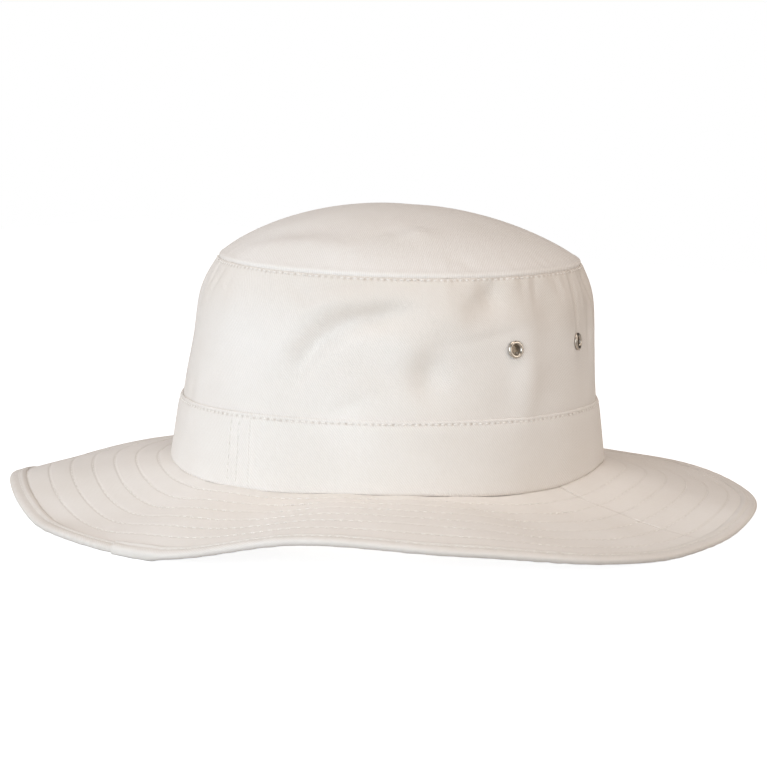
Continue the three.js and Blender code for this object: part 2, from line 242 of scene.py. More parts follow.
def oval_point(bearing, half_length, half_width, set_back, roundness, outward):
    """X and Y of an oval at a bearing, moved straight out from it."""
    sine, cosine = np.sin(np.radians(bearing)), np.cos(np.radians(bearing))
    turn = 2 / roundness
    out_x = np.sign(sine) * np.abs(sine) ** (2 - turn) / half_width
    out_y = -np.sign(cosine) * np.abs(cosine) ** (2 - turn) / half_length
    size = np.hypot(out_x, out_y)
    x = half_width * np.sign(sine) * np.abs(sine) ** turn + outward * out_x / size
    y = set_back - half_length * np.sign(cosine) * np.abs(cosine) ** turn + outward * out_y / size
    return x, y


def brim_fold(bearing):
    """Rise, fall and curl of the brim at a bearing."""
    return np.moveaxis(along_table(BRIM_FOLDS, bearing / 360 * len(BRIM_FOLDS), True), -1, 0)


def fold_depth(bearing, height, half_width):
    """How deep the folds of the crown's side press its cloth in. The top seam holds it."""
    depth = np.zeros(np.broadcast(bearing, height).shape)
    for at_bearing, at_height, deep, half_across, half_along, lean in CROWN_FOLDS + CROWN_CREASES:
        across = np.radians((bearing - at_bearing + 180) % 360 - 180) * half_width
        up = height - at_height
        tip = math.radians(lean)
        along = up * math.cos(tip) + across * math.sin(tip)
        aside = across * math.cos(tip) - up * math.sin(tip)
        depth += deep * np.exp(-((aside / half_across) ** 2) - (along / half_along) ** 2)
    return depth * (1 - np.exp(-np.maximum(CROWN_SECTIONS[-1][0] - height, 0) / SEAM_HOLD))


section_shares = np.linspace(0, len(CROWN_SECTIONS) - 1, 2001)
section_heights = along_table(CROWN_SECTIONS, section_shares)[:, 0]


def crown_point(bearing, height, outward):
    """A point on the outside of the crown's side, in millimetres, moved outward from it."""
    bearing, height = np.broadcast_arrays(bearing, height)
    place = np.interp(height, section_heights, section_shares)
    section = np.moveaxis(along_table(CROWN_SECTIONS, place), -1, 0)
    _, half_length, half_width, set_back, roundness, sway = section
    depth = fold_depth(bearing, height, half_width)
    x, y = oval_point(bearing, half_length, half_width, set_back, roundness, outward - depth)
    foot_share = np.maximum(0, 1 - height / BAND_HEIGHT)
    z = FOOT_HEIGHT + height + foot_share * brim_fold(bearing)[0]
    z = z + sway * np.sin(np.radians(2 * bearing))
    return np.stack([x, y, z], -1)


def cloth_piece(name, outside, inside, cloth, is_ring, holes=None, tips=None):
    """A closed sheet of cloth between two skins of points in millimetres, each a grid of
    rows by columns. cloth is a pair of grids: how far along and up the cloth a point is.
    A ring joins its own start. holes marks the faces that are cut out, and tips are the
    middle points of the two skins where the last row closes round one."""
    rows, columns = outside.shape[:2]
    spans = columns if is_ring else columns - 1
    lift = rows * columns
    points = np.concatenate([outside.reshape(-1, 3), inside.reshape(-1, 3)])
    along, up = [np.tile(direction.ravel(), 2) for direction in cloth]
    grid = np.arange(lift).reshape(rows, columns)
    left = np.arange(spans)
    right = (left + 1) % columns
    low, high = grid[:-1], grid[1:]
    outer = np.stack([low[:, left], low[:, right], high[:, right], high[:, left]], -1)
    kept = np.ones(outer.shape[:2], bool) if holes is None else ~holes
    foot, head = grid[0], grid[-1]
    quads = [outer[kept], outer[kept][:, ::-1] + lift]
    quads.append(np.stack([foot[left] + lift, foot[right] + lift, foot[right], foot[left]], -1))
    triangles = np.zeros((0, 3), int)
    if tips is None:
        quads.append(np.stack([head[left], head[right], head[right] + lift, head[left] + lift], -1))
    else:
        points = np.concatenate([points, tips])
        along, up = np.append(along, tips[:, 0]), np.append(up, tips[:, 1])
        tip = np.full(spans, 2 * lift)
        triangles = np.stack([head[left], head[right], tip], -1)
        under = np.stack([head[right] + lift, head[left] + lift, tip + 1], -1)
        triangles = np.concatenate([triangles, under])
    if not is_ring:
        start, end = grid[:, 0], grid[:, -1]
        quads.append(np.stack([start[:-1], start[1:], start[1:] + lift, start[:-1] + lift], -1))
        quads.append(np.stack([end[:-1] + lift, end[1:] + lift, end[1:], end[:-1]], -1))
    if holes is not None:
        # Rows and columns on to a neighbouring face, then to both corners of the edge between
        sides = [
            (0, 1, 0, 1, 1, 1),
            (0, -1, 1, 0, 0, 0),
            (1, 0, 1, 1, 1, 0),
            (-1, 0, 0, 0, 0, 1),
        ]
        for down, across, first_row, first_column, last_row, last_column in sides:
            rim = np.nonzero(holes & ~np.roll(holes, (-down, -across), (0, 1)))
            first = grid[rim[0] + first_row, (rim[1] + first_column) % columns]
            last = grid[rim[0] + last_row, (rim[1] + last_column) % columns]
            quads.append(np.stack([first, last, last + lift, first + lift], -1))
    quads = np.concatenate(quads)
    turn_length = np.ptp(along) * columns / (columns - 1)
    places = []
    for faces in (quads, triangles):
        face_along = along[faces]
        if is_ring and tips is None and len(faces):
            past = face_along.max(1, keepdims=True) - face_along > turn_length / 2
            face_along = face_along + past * turn_length
        places.append(np.stack([face_along, up[faces]], -1))
    return mesh_piece(name, points, quads, triangles, places)


def mesh_piece(name, points, quads, triangles, places):
    """A smooth mesh object from points in millimetres. places gives each face corner's place
    on the flat cloth, which the weave follows, and is kept as the map named cloth."""
    points = points.copy()
    points[:, :2] += MOVE_TO_MIDDLE
    corners = np.concatenate([quads.ravel(), triangles.ravel()]).astype(np.int32)
    sizes = np.repeat([4, 3], [len(quads), len(triangles)])
    mesh = bpy.data.meshes.new(name)
    mesh.vertices.add(len(points))
    mesh.vertices.foreach_set("co", (points * 0.001).astype(np.float32).ravel())
    mesh.loops.add(len(corners))
    mesh.loops.foreach_set("vertex_index", corners)
    mesh.polygons.add(len(sizes))
    mesh.polygons.foreach_set("loop_start", (np.cumsum(sizes) - sizes).astype(np.int32))
    mesh.polygons.foreach_set("use_smooth", np.ones(len(sizes), bool))
    mesh.update(calc_edges=True)
    flat = np.concatenate([place.reshape(-1, 2) for place in places]) * 0.001
    mesh.uv_layers.new(name="cloth").uv.foreach_set("vector", flat.astype(np.float32).ravel())
    mesh.update()
    piece = bpy.data.objects.new(name, mesh)
    bpy.context.scene.collection.objects.link(piece)
    return piece


def cloth_noise(along, up, rng, waves, strength):
    """Soft unevenness of cloth from slanting waves, each a whole number of times round the
    hat, so that it joins up."""
    total = np.zeros(np.broadcast(along, up).shape)
    for _ in range(waves):
        waves_round = np.radians(along) * rng.integers(5, 26)
        slant = up * rng.uniform(-0.2, 0.2)
        total += np.sin(waves_round + slant + rng.uniform(0, 6.28))
    return strength * total / math.sqrt(waves)


def ring_ripple(bearing, rng, fewest, most, strength):
    """Uneven small waves round the hat, with fewest to most waves a turn."""
    total = np.zeros(np.shape(bearing))
    for _ in range(9):
        total += np.sin(np.radians(bearing) * rng.integers(fewest, most) + rng.uniform(0, 6.28))
    return strength * total / 3


SIDE_COLUMNS = 560
SIDE_TOP_HEIGHT = 84.75
SEAM_STITCH_HEIGHT = 84.0
SEAM_STITCHES = 176

# The rows of points are coarse under the band and finest at the top seam.
side_bearings = np.arange(SIDE_COLUMNS) * 360 / SIDE_COLUMNS
side_heights = np.concatenate(
    [np.arange(0, 27, 3), np.arange(27, 81.5, 0.95), np.linspace(81.95, SIDE_TOP_HEIGHT, 9)]
)
crown_chance = np.random.default_rng(11)
side_grid_bearing, side_grid_height = np.meshgrid(side_bearings, side_heights)
# The cloth turns in at the seam, which pulls it into small gathers, most of all on the +X
# side. Above the band it is a little uneven, and a groove runs under the stitches.
turned_in = 0.42 * np.clip((side_grid_height - 84.1) / 0.65, 0, 1) ** 2
to_seam = SIDE_TOP_HEIGHT - side_grid_height
seam_pull = ring_ripple(side_bearings, crown_chance, 22, 75, 0.26)[None] * np.exp(-to_seam / 5)
right_pull = np.exp(-(((side_grid_bearing - 80) / 45) ** 2)) + 0.35
over_band = np.clip((side_grid_height - BAND_HEIGHT) / 8, 0, 1)
side_relief = (
    seam_pull * right_pull
    + cloth_noise(side_grid_bearing, side_grid_height, crown_chance, 14, 0.16) * over_band
    - 0.06 * np.exp(-(((side_grid_height - SEAM_STITCH_HEIGHT) / 0.45) ** 2))
    - turned_in
)
side_outside = crown_point(side_grid_bearing, side_grid_height, side_relief)
side_inside = crown_point(side_grid_bearing, side_grid_height, -CROWN_CLOTH - 0.4 * turned_in)
side_inside[..., 2] -= 0.5 * turned_in

# The four eyelets and their bearings. A face is cut out where its middle lies in a hole.
EYELETS = [("left_front", 71), ("left_rear", 99.5), ("right_front", -71), ("right_rear", -99.5)]
EYELET_HEIGHT = 56
HOLE_RADIUS = 2.7
side_cells = (side_outside[:-1] + side_outside[1:]) / 2
side_cells = (side_cells + np.roll(side_cells, -1, 1)) / 2
side_holes = np.zeros(side_cells.shape[:2], bool)
for _, bearing in EYELETS:
    middle = crown_point(np.array(bearing), np.array(EYELET_HEIGHT), 0)
    side_holes |= np.linalg.norm(side_cells - middle, axis=-1) < HOLE_RADIUS

# The crown's mean radius, by which a bearing becomes a distance along the cloth
SIDE_RADIUS = 85.0
crown_side = cloth_piece(
    "crown_side_strip",
    side_outside,
    side_inside,
    (np.radians(side_grid_bearing) * SIDE_RADIUS, side_grid_height),
    True,
    holes=side_holes,
)


def new_group(name, inputs, outputs):
    """A shader node group with number inputs and their usual values, and number outputs."""
    group = bpy.data.node_groups.new(name, "ShaderNodeTree")
    for label, value in inputs.items():
        socket = group.interface.new_socket(label, in_out="INPUT", socket_type="NodeSocketFloat")
        socket.default_value = value
    for label in outputs:
        group.interface.new_socket(label, in_out="OUTPUT", socket_type="NodeSocketFloat")
    return group, group.nodes.new("NodeGroupInput"), group.nodes.new("NodeGroupOutput")


def math_node(tree, operation, *values):
    """A math node whose inputs are numbers or other nodes' outputs. Gives its output."""
    node = tree.nodes.new("ShaderNodeMath")
    node.operation = operation
    for socket, value in zip(node.inputs, values):
        if isinstance(value, bpy.types.NodeSocket):
            tree.links.new(value, socket)
        else:
            socket.default_value = value
    return node.outputs[0]


def colour_mix(tree, share, first, second):
    """A mix of two colours, each given or another node's output, by a share that a node
    gives. Gives its output."""
    node = tree.nodes.new("ShaderNodeMix")
    node.data_type = "RGBA"
    tree.links.new(share, node.inputs[0])
    for socket, colour in ((node.inputs[6], first), (node.inputs[7], second)):
        if isinstance(colour, bpy.types.NodeSocket):
            tree.links.new(colour, socket)
        else:
            socket.default_value = (*colour, 1)
    return node.outputs[2]


# The twill weave: warp yarns that float over the weft make fine slanting ribs. They run
# down to the right, about 1.2 to the millimetre, and no two ribs are quite alike.
CROWN_RIBS = (970, 720)
twill_group, twill_in, twill_out = new_group(
    "twill_weave",
    {"Ribs Along": CROWN_RIBS[0], "Ribs Up": CROWN_RIBS[1], "Unevenness": 0.5},
    ["Height", "Hollow Shade", "Slubs"],
)
twill_place = twill_group.nodes.new("ShaderNodeUVMap")
twill_place.uv_map = "cloth"
twill_parts = twill_group.nodes.new("ShaderNodeSeparateXYZ")
twill_group.links.new(twill_place.outputs["UV"], twill_parts.inputs[0])
slub_stretch = twill_group.nodes.new("ShaderNodeMapping")
slub_stretch.inputs["Scale"].default_value = (1100, 260, 1)
twill_group.links.new(twill_place.outputs["UV"], slub_stretch.inputs["Vector"])
slub_noise = twill_group.nodes.new("ShaderNodeTexNoise")
slub_noise.noise_dimensions = "2D"
slub_noise.inputs["Scale"].default_value = 1
slub_noise.inputs["Detail"].default_value = 3
twill_group.links.new(slub_stretch.outputs["Vector"], slub_noise.inputs["Vector"])
rib_phase = math_node(
    twill_group,
    "ADD",
    math_node(twill_group, "MULTIPLY", twill_parts.outputs["X"], twill_in.outputs["Ribs Along"]),
    math_node(twill_group, "MULTIPLY", twill_parts.outputs["Y"], twill_in.outputs["Ribs Up"]),
)
slubs = slub_noise.outputs["Fac"]
rib_drift = math_node(twill_group, "MULTIPLY", slubs, twill_in.outputs["Unevenness"])
rib_place = math_node(twill_group, "ADD", rib_phase, rib_drift)
rib_turn = math_node(twill_group, "MULTIPLY", rib_place, 2 * math.pi)
rib_swing = math_node(twill_group, "SINE", rib_turn)
rib_wave = math_node(twill_group, "MULTIPLY_ADD", rib_swing, 0.5, 0.5)
rib_height = math_node(twill_group, "POWER", rib_wave, 0.7)
slub_height = math_node(twill_group, "MULTIPLY", slubs, 0.6)
twill_height = math_node(twill_group, "ADD", rib_height, slub_height)
# Where the ribs are low, the hollows between them get painted shade.
twill_hollow_shade = math_node(twill_group, "SUBTRACT", 1.0, rib_height)
twill_group.links.new(twill_height, twill_out.inputs["Height"])
twill_group.links.new(twill_hollow_shade, twill_out.inputs["Hollow Shade"])
twill_group.links.new(slubs, twill_out.inputs["Slubs"])

# Uneven tone: bleached cotton keeps faint warm clouds a few centimetres across.
tone_group, tone_in, tone_out = new_group("cloth_clouds", {"Clouds Per Metre": 28}, ["Tone"])
tone_place = tone_group.nodes.new("ShaderNodeTexCoord")
tone_noise = tone_group.nodes.new("ShaderNodeTexNoise")
tone_noise.inputs["Detail"].default_value = 2
tone_group.links.new(tone_place.outputs["Object"], tone_noise.inputs["Vector"])
tone_group.links.new(tone_in.outputs["Clouds Per Metre"], tone_noise.inputs["Scale"])
tone_group.links.new(tone_noise.outputs["Fac"], tone_out.inputs["Tone"])


# Needle holes: where the thread of a row goes down, the cloth is drawn into a small dent, and
# # the shade in it is painted dark. Across is the distance from the row in metres, and Along counts
# stitches.
holes_group, holes_in, holes_out = new_group(
    "stitch_holes", {"Across": 0.0, "Along": 0.0}, ["Holes"]
)
hole_across = math_node(holes_group, "MULTIPLY", holes_in.outputs["Across"], 1900)
hole_reach = math_node(holes_group, "POWER", hole_across, 2)
hole_fade = math_node(holes_group, "EXPONENT", math_node(holes_group, "MULTIPLY", hole_reach, -1))
hole_turn = math_node(holes_group, "MULTIPLY", holes_in.outputs["Along"], 2 * math.pi)
hole_swing = math_node(holes_group, "COSINE", hole_turn)
hole_wave = math_node(holes_group, "MULTIPLY_ADD", hole_swing, 0.5, 0.5)
hole_depth = math_node(holes_group, "POWER", hole_wave, 1.4)
holes_group.links.new(
    math_node(holes_group, "MULTIPLY", hole_fade, hole_depth), holes_out.inputs["Holes"]
)


def cloth_place(tree):
    """How far along and up the flat cloth a spot is, in metres."""
    place = tree.nodes.new("ShaderNodeUVMap")
    place.uv_map = "cloth"
    parts = tree.nodes.new("ShaderNodeSeparateXYZ")
    tree.links.new(place.outputs["UV"], parts.inputs[0])
    return parts.outputs["X"], parts.outputs["Y"]


# The rows of stitches that run round the crown: height, and count of stitches
BAND_STITCH_HEIGHT = 27.0
BAND_STITCHES = 198
CROWN_ROWS = [(SEAM_STITCH_HEIGHT, SEAM_STITCHES), (BAND_STITCH_HEIGHT, BAND_STITCHES)]


def crown_holes(tree):
    """The needle holes of the rows that run round the crown's side and its band."""
    along_cloth, up_cloth = cloth_place(tree)
    total = 0.0
    for height, stitches in CROWN_ROWS:
        row = tree.nodes.new("ShaderNodeGroup")
        row.node_tree = holes_group
        across = math_node(tree, "SUBTRACT", up_cloth, height * 0.001)
        stitches_per_metre = stitches / (2 * math.pi * SIDE_RADIUS * 0.001)
        along = math_node(tree, "MULTIPLY", along_cloth, stitches_per_metre)
        tree.links.new(across, row.inputs["Across"])
        tree.links.new(along, row.inputs["Along"])
        total = math_node(tree, "ADD", row.outputs["Holes"], total)
    return total


def painted_rim_shade(tree):
    """Painted shade: the cloth's colour turns darker and warmer under the crown's rim, most of all
    on the +X side."""
    along_cloth, up_cloth = cloth_place(tree)
    toward_rim = tree.nodes.new("ShaderNodeMapRange")
    toward_rim.interpolation_type = "SMOOTHSTEP"
    toward_rim.inputs["From Min"].default_value = 0.055
    toward_rim.inputs["From Max"].default_value = 0.078
    tree.links.new(up_cloth, toward_rim.inputs["Value"])
    turn = math_node(tree, "DIVIDE", along_cloth, SIDE_RADIUS * 0.001)
    share = math_node(tree, "MULTIPLY_ADD", math_node(tree, "SINE", turn), 0.3, 0.42)
    return math_node(tree, "MULTIPLY", toward_rim.outputs["Result"], share)


# The colour of the painted shade in needle holes and seam lines, and how much of it there is
HOLE_SHADE_COLOUR = (0.42, 0.34, 0.27)
HOLE_SHADE_SHARE = 0.36


def twill(name, light, warm, ribs, weave_depth, sewn_rows=None, rim_shade=None):
    """A twill cloth: light is its colour on the ribs and warm the colour of its clouds and of
    the painted shade in the hollows between ribs, ribs are how many there are to a metre along
    and up, and weave_depth is how deep they are in metres. sewn_rows gives the needle holes of
    its rows of stitches, or another place that is drawn down and darker, both with painted
    shade, and handled gives painted shade, darker and warmer, under the crown's rim."""
    material = bpy.data.materials.new(name)
    material.use_nodes = True
    tree = material.node_tree
    surface = tree.nodes["Principled BSDF"]
    weave = tree.nodes.new("ShaderNodeGroup")
    weave.node_tree = twill_group
    weave.inputs["Ribs Along"].default_value, weave.inputs["Ribs Up"].default_value = ribs
    clouds = tree.nodes.new("ShaderNodeGroup")
    clouds.node_tree = tone_group
    cloud_range = tree.nodes.new("ShaderNodeMapRange")
    cloud_range.inputs["From Min"].default_value = 0.35
    cloud_range.inputs["From Max"].default_value = 0.75
    cloud_range.inputs["To Max"].default_value = 0.35
    tree.links.new(clouds.outputs["Tone"], cloud_range.inputs["Value"])
    # Painted shade in the hollows between ribs turns the colour darker and warmer. The slubs vary
    # the yarn's tone at random.
    hollows = math_node(tree, "MULTIPLY", weave.outputs["Hollow Shade"], 0.47)
    slubs = math_node(tree, "MULTIPLY", weave.outputs["Slubs"], 0.25)
    amount = math_node(tree, "ADD", hollows, slubs)
    amount = math_node(tree, "ADD", amount, cloud_range.outputs["Result"])
    # Painted shade under the crown's rim, where it is given, turns the colour darker and warmer.
    if rim_shade:
        amount = math_node(tree, "ADD", amount, rim_shade(tree))
    colour = colour_mix(tree, amount, light, warm)
    height = weave.outputs["Height"]
    if sewn_rows:
        # No two needle holes have equally dark painted shade, which small clouds of tone decide.
        uneven = tree.nodes.new("ShaderNodeGroup")
        uneven.node_tree = tone_group
        uneven.inputs["Clouds Per Metre"].default_value = 420
        strength = math_node(tree, "MULTIPLY_ADD", uneven.outputs["Tone"], 3.2, -0.6)
        holes = math_node(tree, "MULTIPLY", sewn_rows(tree), strength)
        painted_hole_shade = math_node(tree, "MULTIPLY", holes, HOLE_SHADE_SHARE)
        colour = colour_mix(tree, painted_hole_shade, colour, HOLE_SHADE_COLOUR)
        height = math_node(tree, "SUBTRACT", height, math_node(tree, "MULTIPLY", holes, 3))
    tree.links.new(colour, surface.inputs["Base Color"])
    bump = tree.nodes.new("ShaderNodeBump")
    bump.inputs["Strength"].default_value = 0.5
    bump.inputs["Distance"].default_value = weave_depth
    tree.links.new(height, bump.inputs["Height"])
    tree.links.new(bump.outputs["Normal"], surface.inputs["Normal"])
    surface.inputs["Roughness"].default_value = 0.85
    surface.inputs["Specular IOR Level"].default_value = 0.25
    surface.inputs["Sheen Weight"].default_value = 0.12
    surface.inputs["Sheen Roughness"].default_value = 0.5
    return material


CROWN_COLOURS = (0.82, 0.78, 0.735), (0.71, 0.65, 0.585)
CROWN_WEAVE_DEPTH = 0.00012
sewn_twill = twill(
    "crown_twill_sewn", *CROWN_COLOURS, CROWN_RIBS, CROWN_WEAVE_DEPTH, crown_holes, painted_rim_shade
)
crown_side.data.materials.append(sewn_twill)
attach(crown_side, "root")
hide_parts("crown_side")


# Seam thread: spun cotton, cream and slightly glossy. A lockstitch shows as short raised
# lengths, each drawn down into the cloth at both ends.
THREAD_SIDES = 6
# The rings of points of a stitch from end to end: place along it, size and lift out of the
# cloth, as shares of its length, its radius and how far its ends are sunk
STITCH_RINGS = np.array(
    [
        (-0.5, 0.55, -1),
        (-0.34, 0.95, 0.1),
        (0, 1, 0.45),
        (0.34, 0.95, 0.1),
        (0.5, 0.55, -1),
    ]
)


def stitch_row(path, normals, is_closed, count, length, radius, sunk):
    """A count of stitches along a path of points in millimetres, with the cloth's normals
    there. sunk is how far a stitch's ends go into the cloth."""
    if is_closed:
        path = np.concatenate([path, path[:1]])
        normals = np.concatenate([normals, normals[:1]])
    steps = np.linalg.norm(np.diff(path, axis=0), axis=1)
    place = np.concatenate([[0], np.cumsum(steps)])
    stitch_places = (np.arange(count) + 0.5) / count * (len(path) - 1)
    ring_places, ring_sizes, ring_lifts = (STITCH_RINGS * (length, radius, sunk)).T
    centres = np.interp(stitch_places, np.arange(len(path)), place)[:, None] + ring_places
    middle = np.stack([np.interp(centres, place, path[:, axis]) for axis in range(3)], -1)
    out = np.stack([np.interp(centres, place, normals[:, axis]) for axis in range(3)], -1)
    out /= np.linalg.norm(out, axis=-1, keepdims=True)
    middle = middle + out * ring_lifts[:, None]
    ahead = middle[:, -1:] - middle[:, :1]
    ahead = ahead / np.linalg.norm(ahead, axis=-1, keepdims=True)
    aside = np.cross(ahead, out)
    turns = (np.arange(THREAD_SIDES) * math.pi / (THREAD_SIDES / 2))[:, None]
    around = aside[:, :, None] * np.cos(turns) + out[:, :, None] * np.sin(turns)
    rings = middle[:, :, None] + around * ring_sizes[:, None, None]
    tips = np.stack([middle[:, 0], middle[:, -1]], 1)
    points = np.concatenate([rings.reshape(-1, 3), tips.reshape(-1, 3)])
    index = np.arange(rings.size // 3).reshape(rings.shape[:3])
    beside = np.roll(index, -1, 2)
    quads = np.stack([index[:, :-1], index[:, 1:], beside[:, 1:], beside[:, :-1]], -1)
    tip_index = np.arange(count * 2).reshape(count, 2, 1) + index.size
    tip_index = np.broadcast_to(tip_index, (count, 2, THREAD_SIDES))
    first = np.stack([index[:, 0], beside[:, 0], tip_index[:, 0]], -1)
    last = np.stack([beside[:, -1], index[:, -1], tip_index[:, 1]], -1)
    triangles = np.concatenate([first, last]).reshape(-1, 3)
    ring_along = np.repeat(centres.ravel(), THREAD_SIDES)
    flat_along = np.concatenate([ring_along, centres[:, [0, -1]].ravel()])
    ring_up = np.tile(np.arange(THREAD_SIDES) * 0.2, centres.size)
    flat_up = np.concatenate([ring_up, np.zeros(count * 2)])
    return points, quads.reshape(-1, 4), triangles, np.stack([flat_along, flat_up], -1)


def thread_piece(name, rows):
    """One mesh from several rows of stitches."""
    points, quads, triangles, flats, before = [], [], [], [], 0
    for row_points, row_quads, row_triangles, flat in rows:
        points.append(row_points)
        quads.append(row_quads + before)
        triangles.append(row_triangles + before)
        flats.append(flat)
        before += len(row_points)
    quads, triangles, flats = [np.concatenate(parts) for parts in (quads, triangles, flats)]
    places = [flats[quads], flats[triangles]]
    return mesh_piece(name, np.concatenate(points), quads, triangles, places)


THREAD_COLOURS = (0.75, 0.70, 0.64), (0.87, 0.83, 0.775)
seam_thread = bpy.data.materials.new("seam_thread")
seam_thread.use_nodes = True
thread_tree = seam_thread.node_tree
thread_surface = thread_tree.nodes["Principled BSDF"]
thread_place = thread_tree.nodes.new("ShaderNodeUVMap")
thread_place.uv_map = "cloth"
thread_twist = thread_tree.nodes.new("ShaderNodeTexWave")
thread_twist.inputs["Scale"].default_value = 420
thread_twist.inputs["Distortion"].default_value = 1.5
thread_colour = colour_mix(thread_tree, thread_twist.outputs["Fac"], *THREAD_COLOURS)
thread_bump = thread_tree.nodes.new("ShaderNodeBump")
thread_bump.inputs["Strength"].default_value = 0.4
thread_bump.inputs["Distance"].default_value = 0.0001
thread_tree.links.new(thread_place.outputs["UV"], thread_twist.inputs["Vector"])
thread_tree.links.new(thread_colour, thread_surface.inputs["Base Color"])
thread_tree.links.new(thread_twist.outputs["Fac"], thread_bump.inputs["Height"])
thread_tree.links.new(thread_bump.outputs["Normal"], thread_surface.inputs["Normal"])
thread_surface.inputs["Roughness"].default_value = 0.6
thread_surface.inputs["Specular IOR Level"].default_value = 0.35


def sewn(piece):
    """Finishes a row of stitches: its thread and the body it rides on."""
    piece.data.materials.append(seam_thread)
    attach(piece, "root")


def side_path(height, outward, bearings):
    """Points round the crown's side at a height, and the direction out of the cloth."""
    path = crown_point(bearings, height, outward)
    ahead = np.gradient(path, axis=0)
    up = crown_point(bearings, height + 1, outward) - path
    out = np.cross(ahead, up)
    return path, out / np.linalg.norm(out, axis=1, keepdims=True)


# Length of a stitch of the crown, radius of its thread, and how far its ends are sunk
CROWN_STITCH = (1.9, 0.24, 0.45)
ring_bearings = np.arange(1440) / 4
stitched_row = np.argmin(abs(side_heights - SEAM_STITCH_HEIGHT))
seam_relief = np.interp(ring_bearings, side_bearings, seam_pull[stitched_row])
seam_path, seam_out = side_path(SEAM_STITCH_HEIGHT, seam_relief - 0.2, ring_bearings)
seam_row = stitch_row(seam_path, seam_out, True, SEAM_STITCHES, *CROWN_STITCH)
sewn(thread_piece("top_seam_stitches", [seam_row]))


# Crown top: an oval panel of the same twill, cut a little full so that it domes. Its edge is
# turned down and sewn to the side, which leaves a fine rounded ridge round the crown.
DOME_HEIGHT = 22.7
# Two powers shape the dome's curve, over its middle and at its shoulder.
DOME_FULLNESS = 2.05
DOME_SHOULDER = 0.85
# The dome is a little higher toward one bearing.
DOME_LEAN = 1.8
DOME_LEAN_BEARING = -56
TOP_SECTION = CROWN_SECTIONS[-1]
TOP_HEIGHT = FOOT_HEIGHT + TOP_SECTION[0]
# Folds of the panel seen from above: X, Y, depth, half width, half length, and the bearing
# that the long way of the fold points to
TOP_FOLDS = [
    (-14, -61, -1.5, 6.5, 20, 95),
    (16, -62, -1.1, 6.5, 14, 85),
    (-16, -51, 1.0, 8, 26, 95),
    (24, -38, 0.6, 4, 9, 150),
    (20, -63, 0.7, 2.5, 4, 30),
    (34, -33, -0.9, 6, 6, 60),
    (57, -36, 0.9, 4, 6, 120),
    (-30, -30, 0.3, 7, 22, -20),
    (-20, 20, 0.5, 8, 30, 80),
    (10, 50, 0.5, 7, 24, 100),
]


def top_point(bearing, spread, drop):
    """A point on the crown's top at a share of the way out to its rim."""
    set_back = TOP_SECTION[3]
    x, y = oval_point(bearing, TOP_SECTION[1], TOP_SECTION[2], 0, TOP_SECTION[4], 0)
    x, y = x * spread, y * spread + set_back
    swell = np.maximum(1 - spread**DOME_FULLNESS, 0) ** DOME_SHOULDER
    lean = spread * np.cos(np.radians(bearing - DOME_LEAN_BEARING)) * DOME_LEAN * swell
    depth = np.zeros(np.shape(x))
    for at_x, at_y, deep, half_across, half_along, toward in TOP_FOLDS:
        sine, cosine = math.sin(math.radians(toward)), math.cos(math.radians(toward))
        along = (x - at_x) * sine - (y - at_y) * cosine
        aside = (x - at_x) * cosine + (y - at_y) * sine
        depth += deep * np.exp(-((aside / half_across) ** 2) - (along / half_along) ** 2)
    z = TOP_HEIGHT + DOME_HEIGHT * swell + lean - depth * (1 - spread**6) - drop
    return np.stack(np.broadcast_arrays(x, y, z), -1)


# The rolled edge: how far in from the rim and how far above it the outer skin goes
EDGE_ROLL = [
    (0.6, -1.15),
    (0.3, -0.9),
    (0.12, -0.6),
    (0.02, -0.15),
    (0.06, 0.3),
    (0.3, 0.75),
    (0.8, 1.2),
    (1.5, 1.65),
]
TOP_COLUMNS = 400
# How far the panel's grain is turned from the hat's length, in degrees
PANEL_GRAIN = 14.5

top_bearings = np.arange(TOP_COLUMNS) * 360 / TOP_COLUMNS
top_spreads = np.concatenate([np.linspace(0.972, 0.9, 5), np.linspace(0.88, 0.03, 36)])
top_chance = np.random.default_rng(5)
top_grid_bearing, top_grid_spread = np.meshgrid(top_bearings, top_spreads)
panel_outside = top_point(top_grid_bearing, top_grid_spread, 0)
panel_inside = top_point(top_grid_bearing, top_grid_spread, CROWN_CLOTH)
# The rim's seam gathers the panel, and the whole of it is a little uneven. The unevenness
# fades toward the middle, where the waves of all bearings meet.
gathers = ring_ripple(top_bearings, top_chance, 25, 80, 0.22)
from_rim = (1 - top_grid_spread) * 80
panel_outside[..., 2] += gathers * np.exp(-from_rim / 5) * (1 - np.exp(-from_rim / 1.5))
top_unevenness = cloth_noise(top_grid_bearing, from_rim, top_chance, 10, 0.10)
from_middle = np.minimum(top_grid_spread / 0.8, 1) ** 3
panel_outside[..., 2] += top_unevenness * (1 - top_grid_spread**8) * from_middle
roll_outside, roll_inside = [], []
for inward, rise in EDGE_ROLL:
    x, y = oval_point(top_bearings, *TOP_SECTION[1:5], -inward)
    roll_outside.append(np.stack([x, y, np.full(TOP_COLUMNS, TOP_HEIGHT + rise)], -1))
    x, y = oval_point(top_bearings, *TOP_SECTION[1:5], -inward - 1.3)
    roll_inside.append(np.stack([x, y, np.full(TOP_COLUMNS, TOP_HEIGHT + rise * 0.4 - 0.75)], -1))
top_outside = np.concatenate([roll_outside, panel_outside])
top_inside = np.concatenate([roll_inside, panel_inside])


def turned(points, angle):
    """X and Y of points seen from above, turned by an angle."""
    x, y = points[..., 0], points[..., 1]
    sine, cosine = math.sin(math.radians(angle)), math.cos(math.radians(angle))
    return x * cosine - y * sine, x * sine + y * cosine


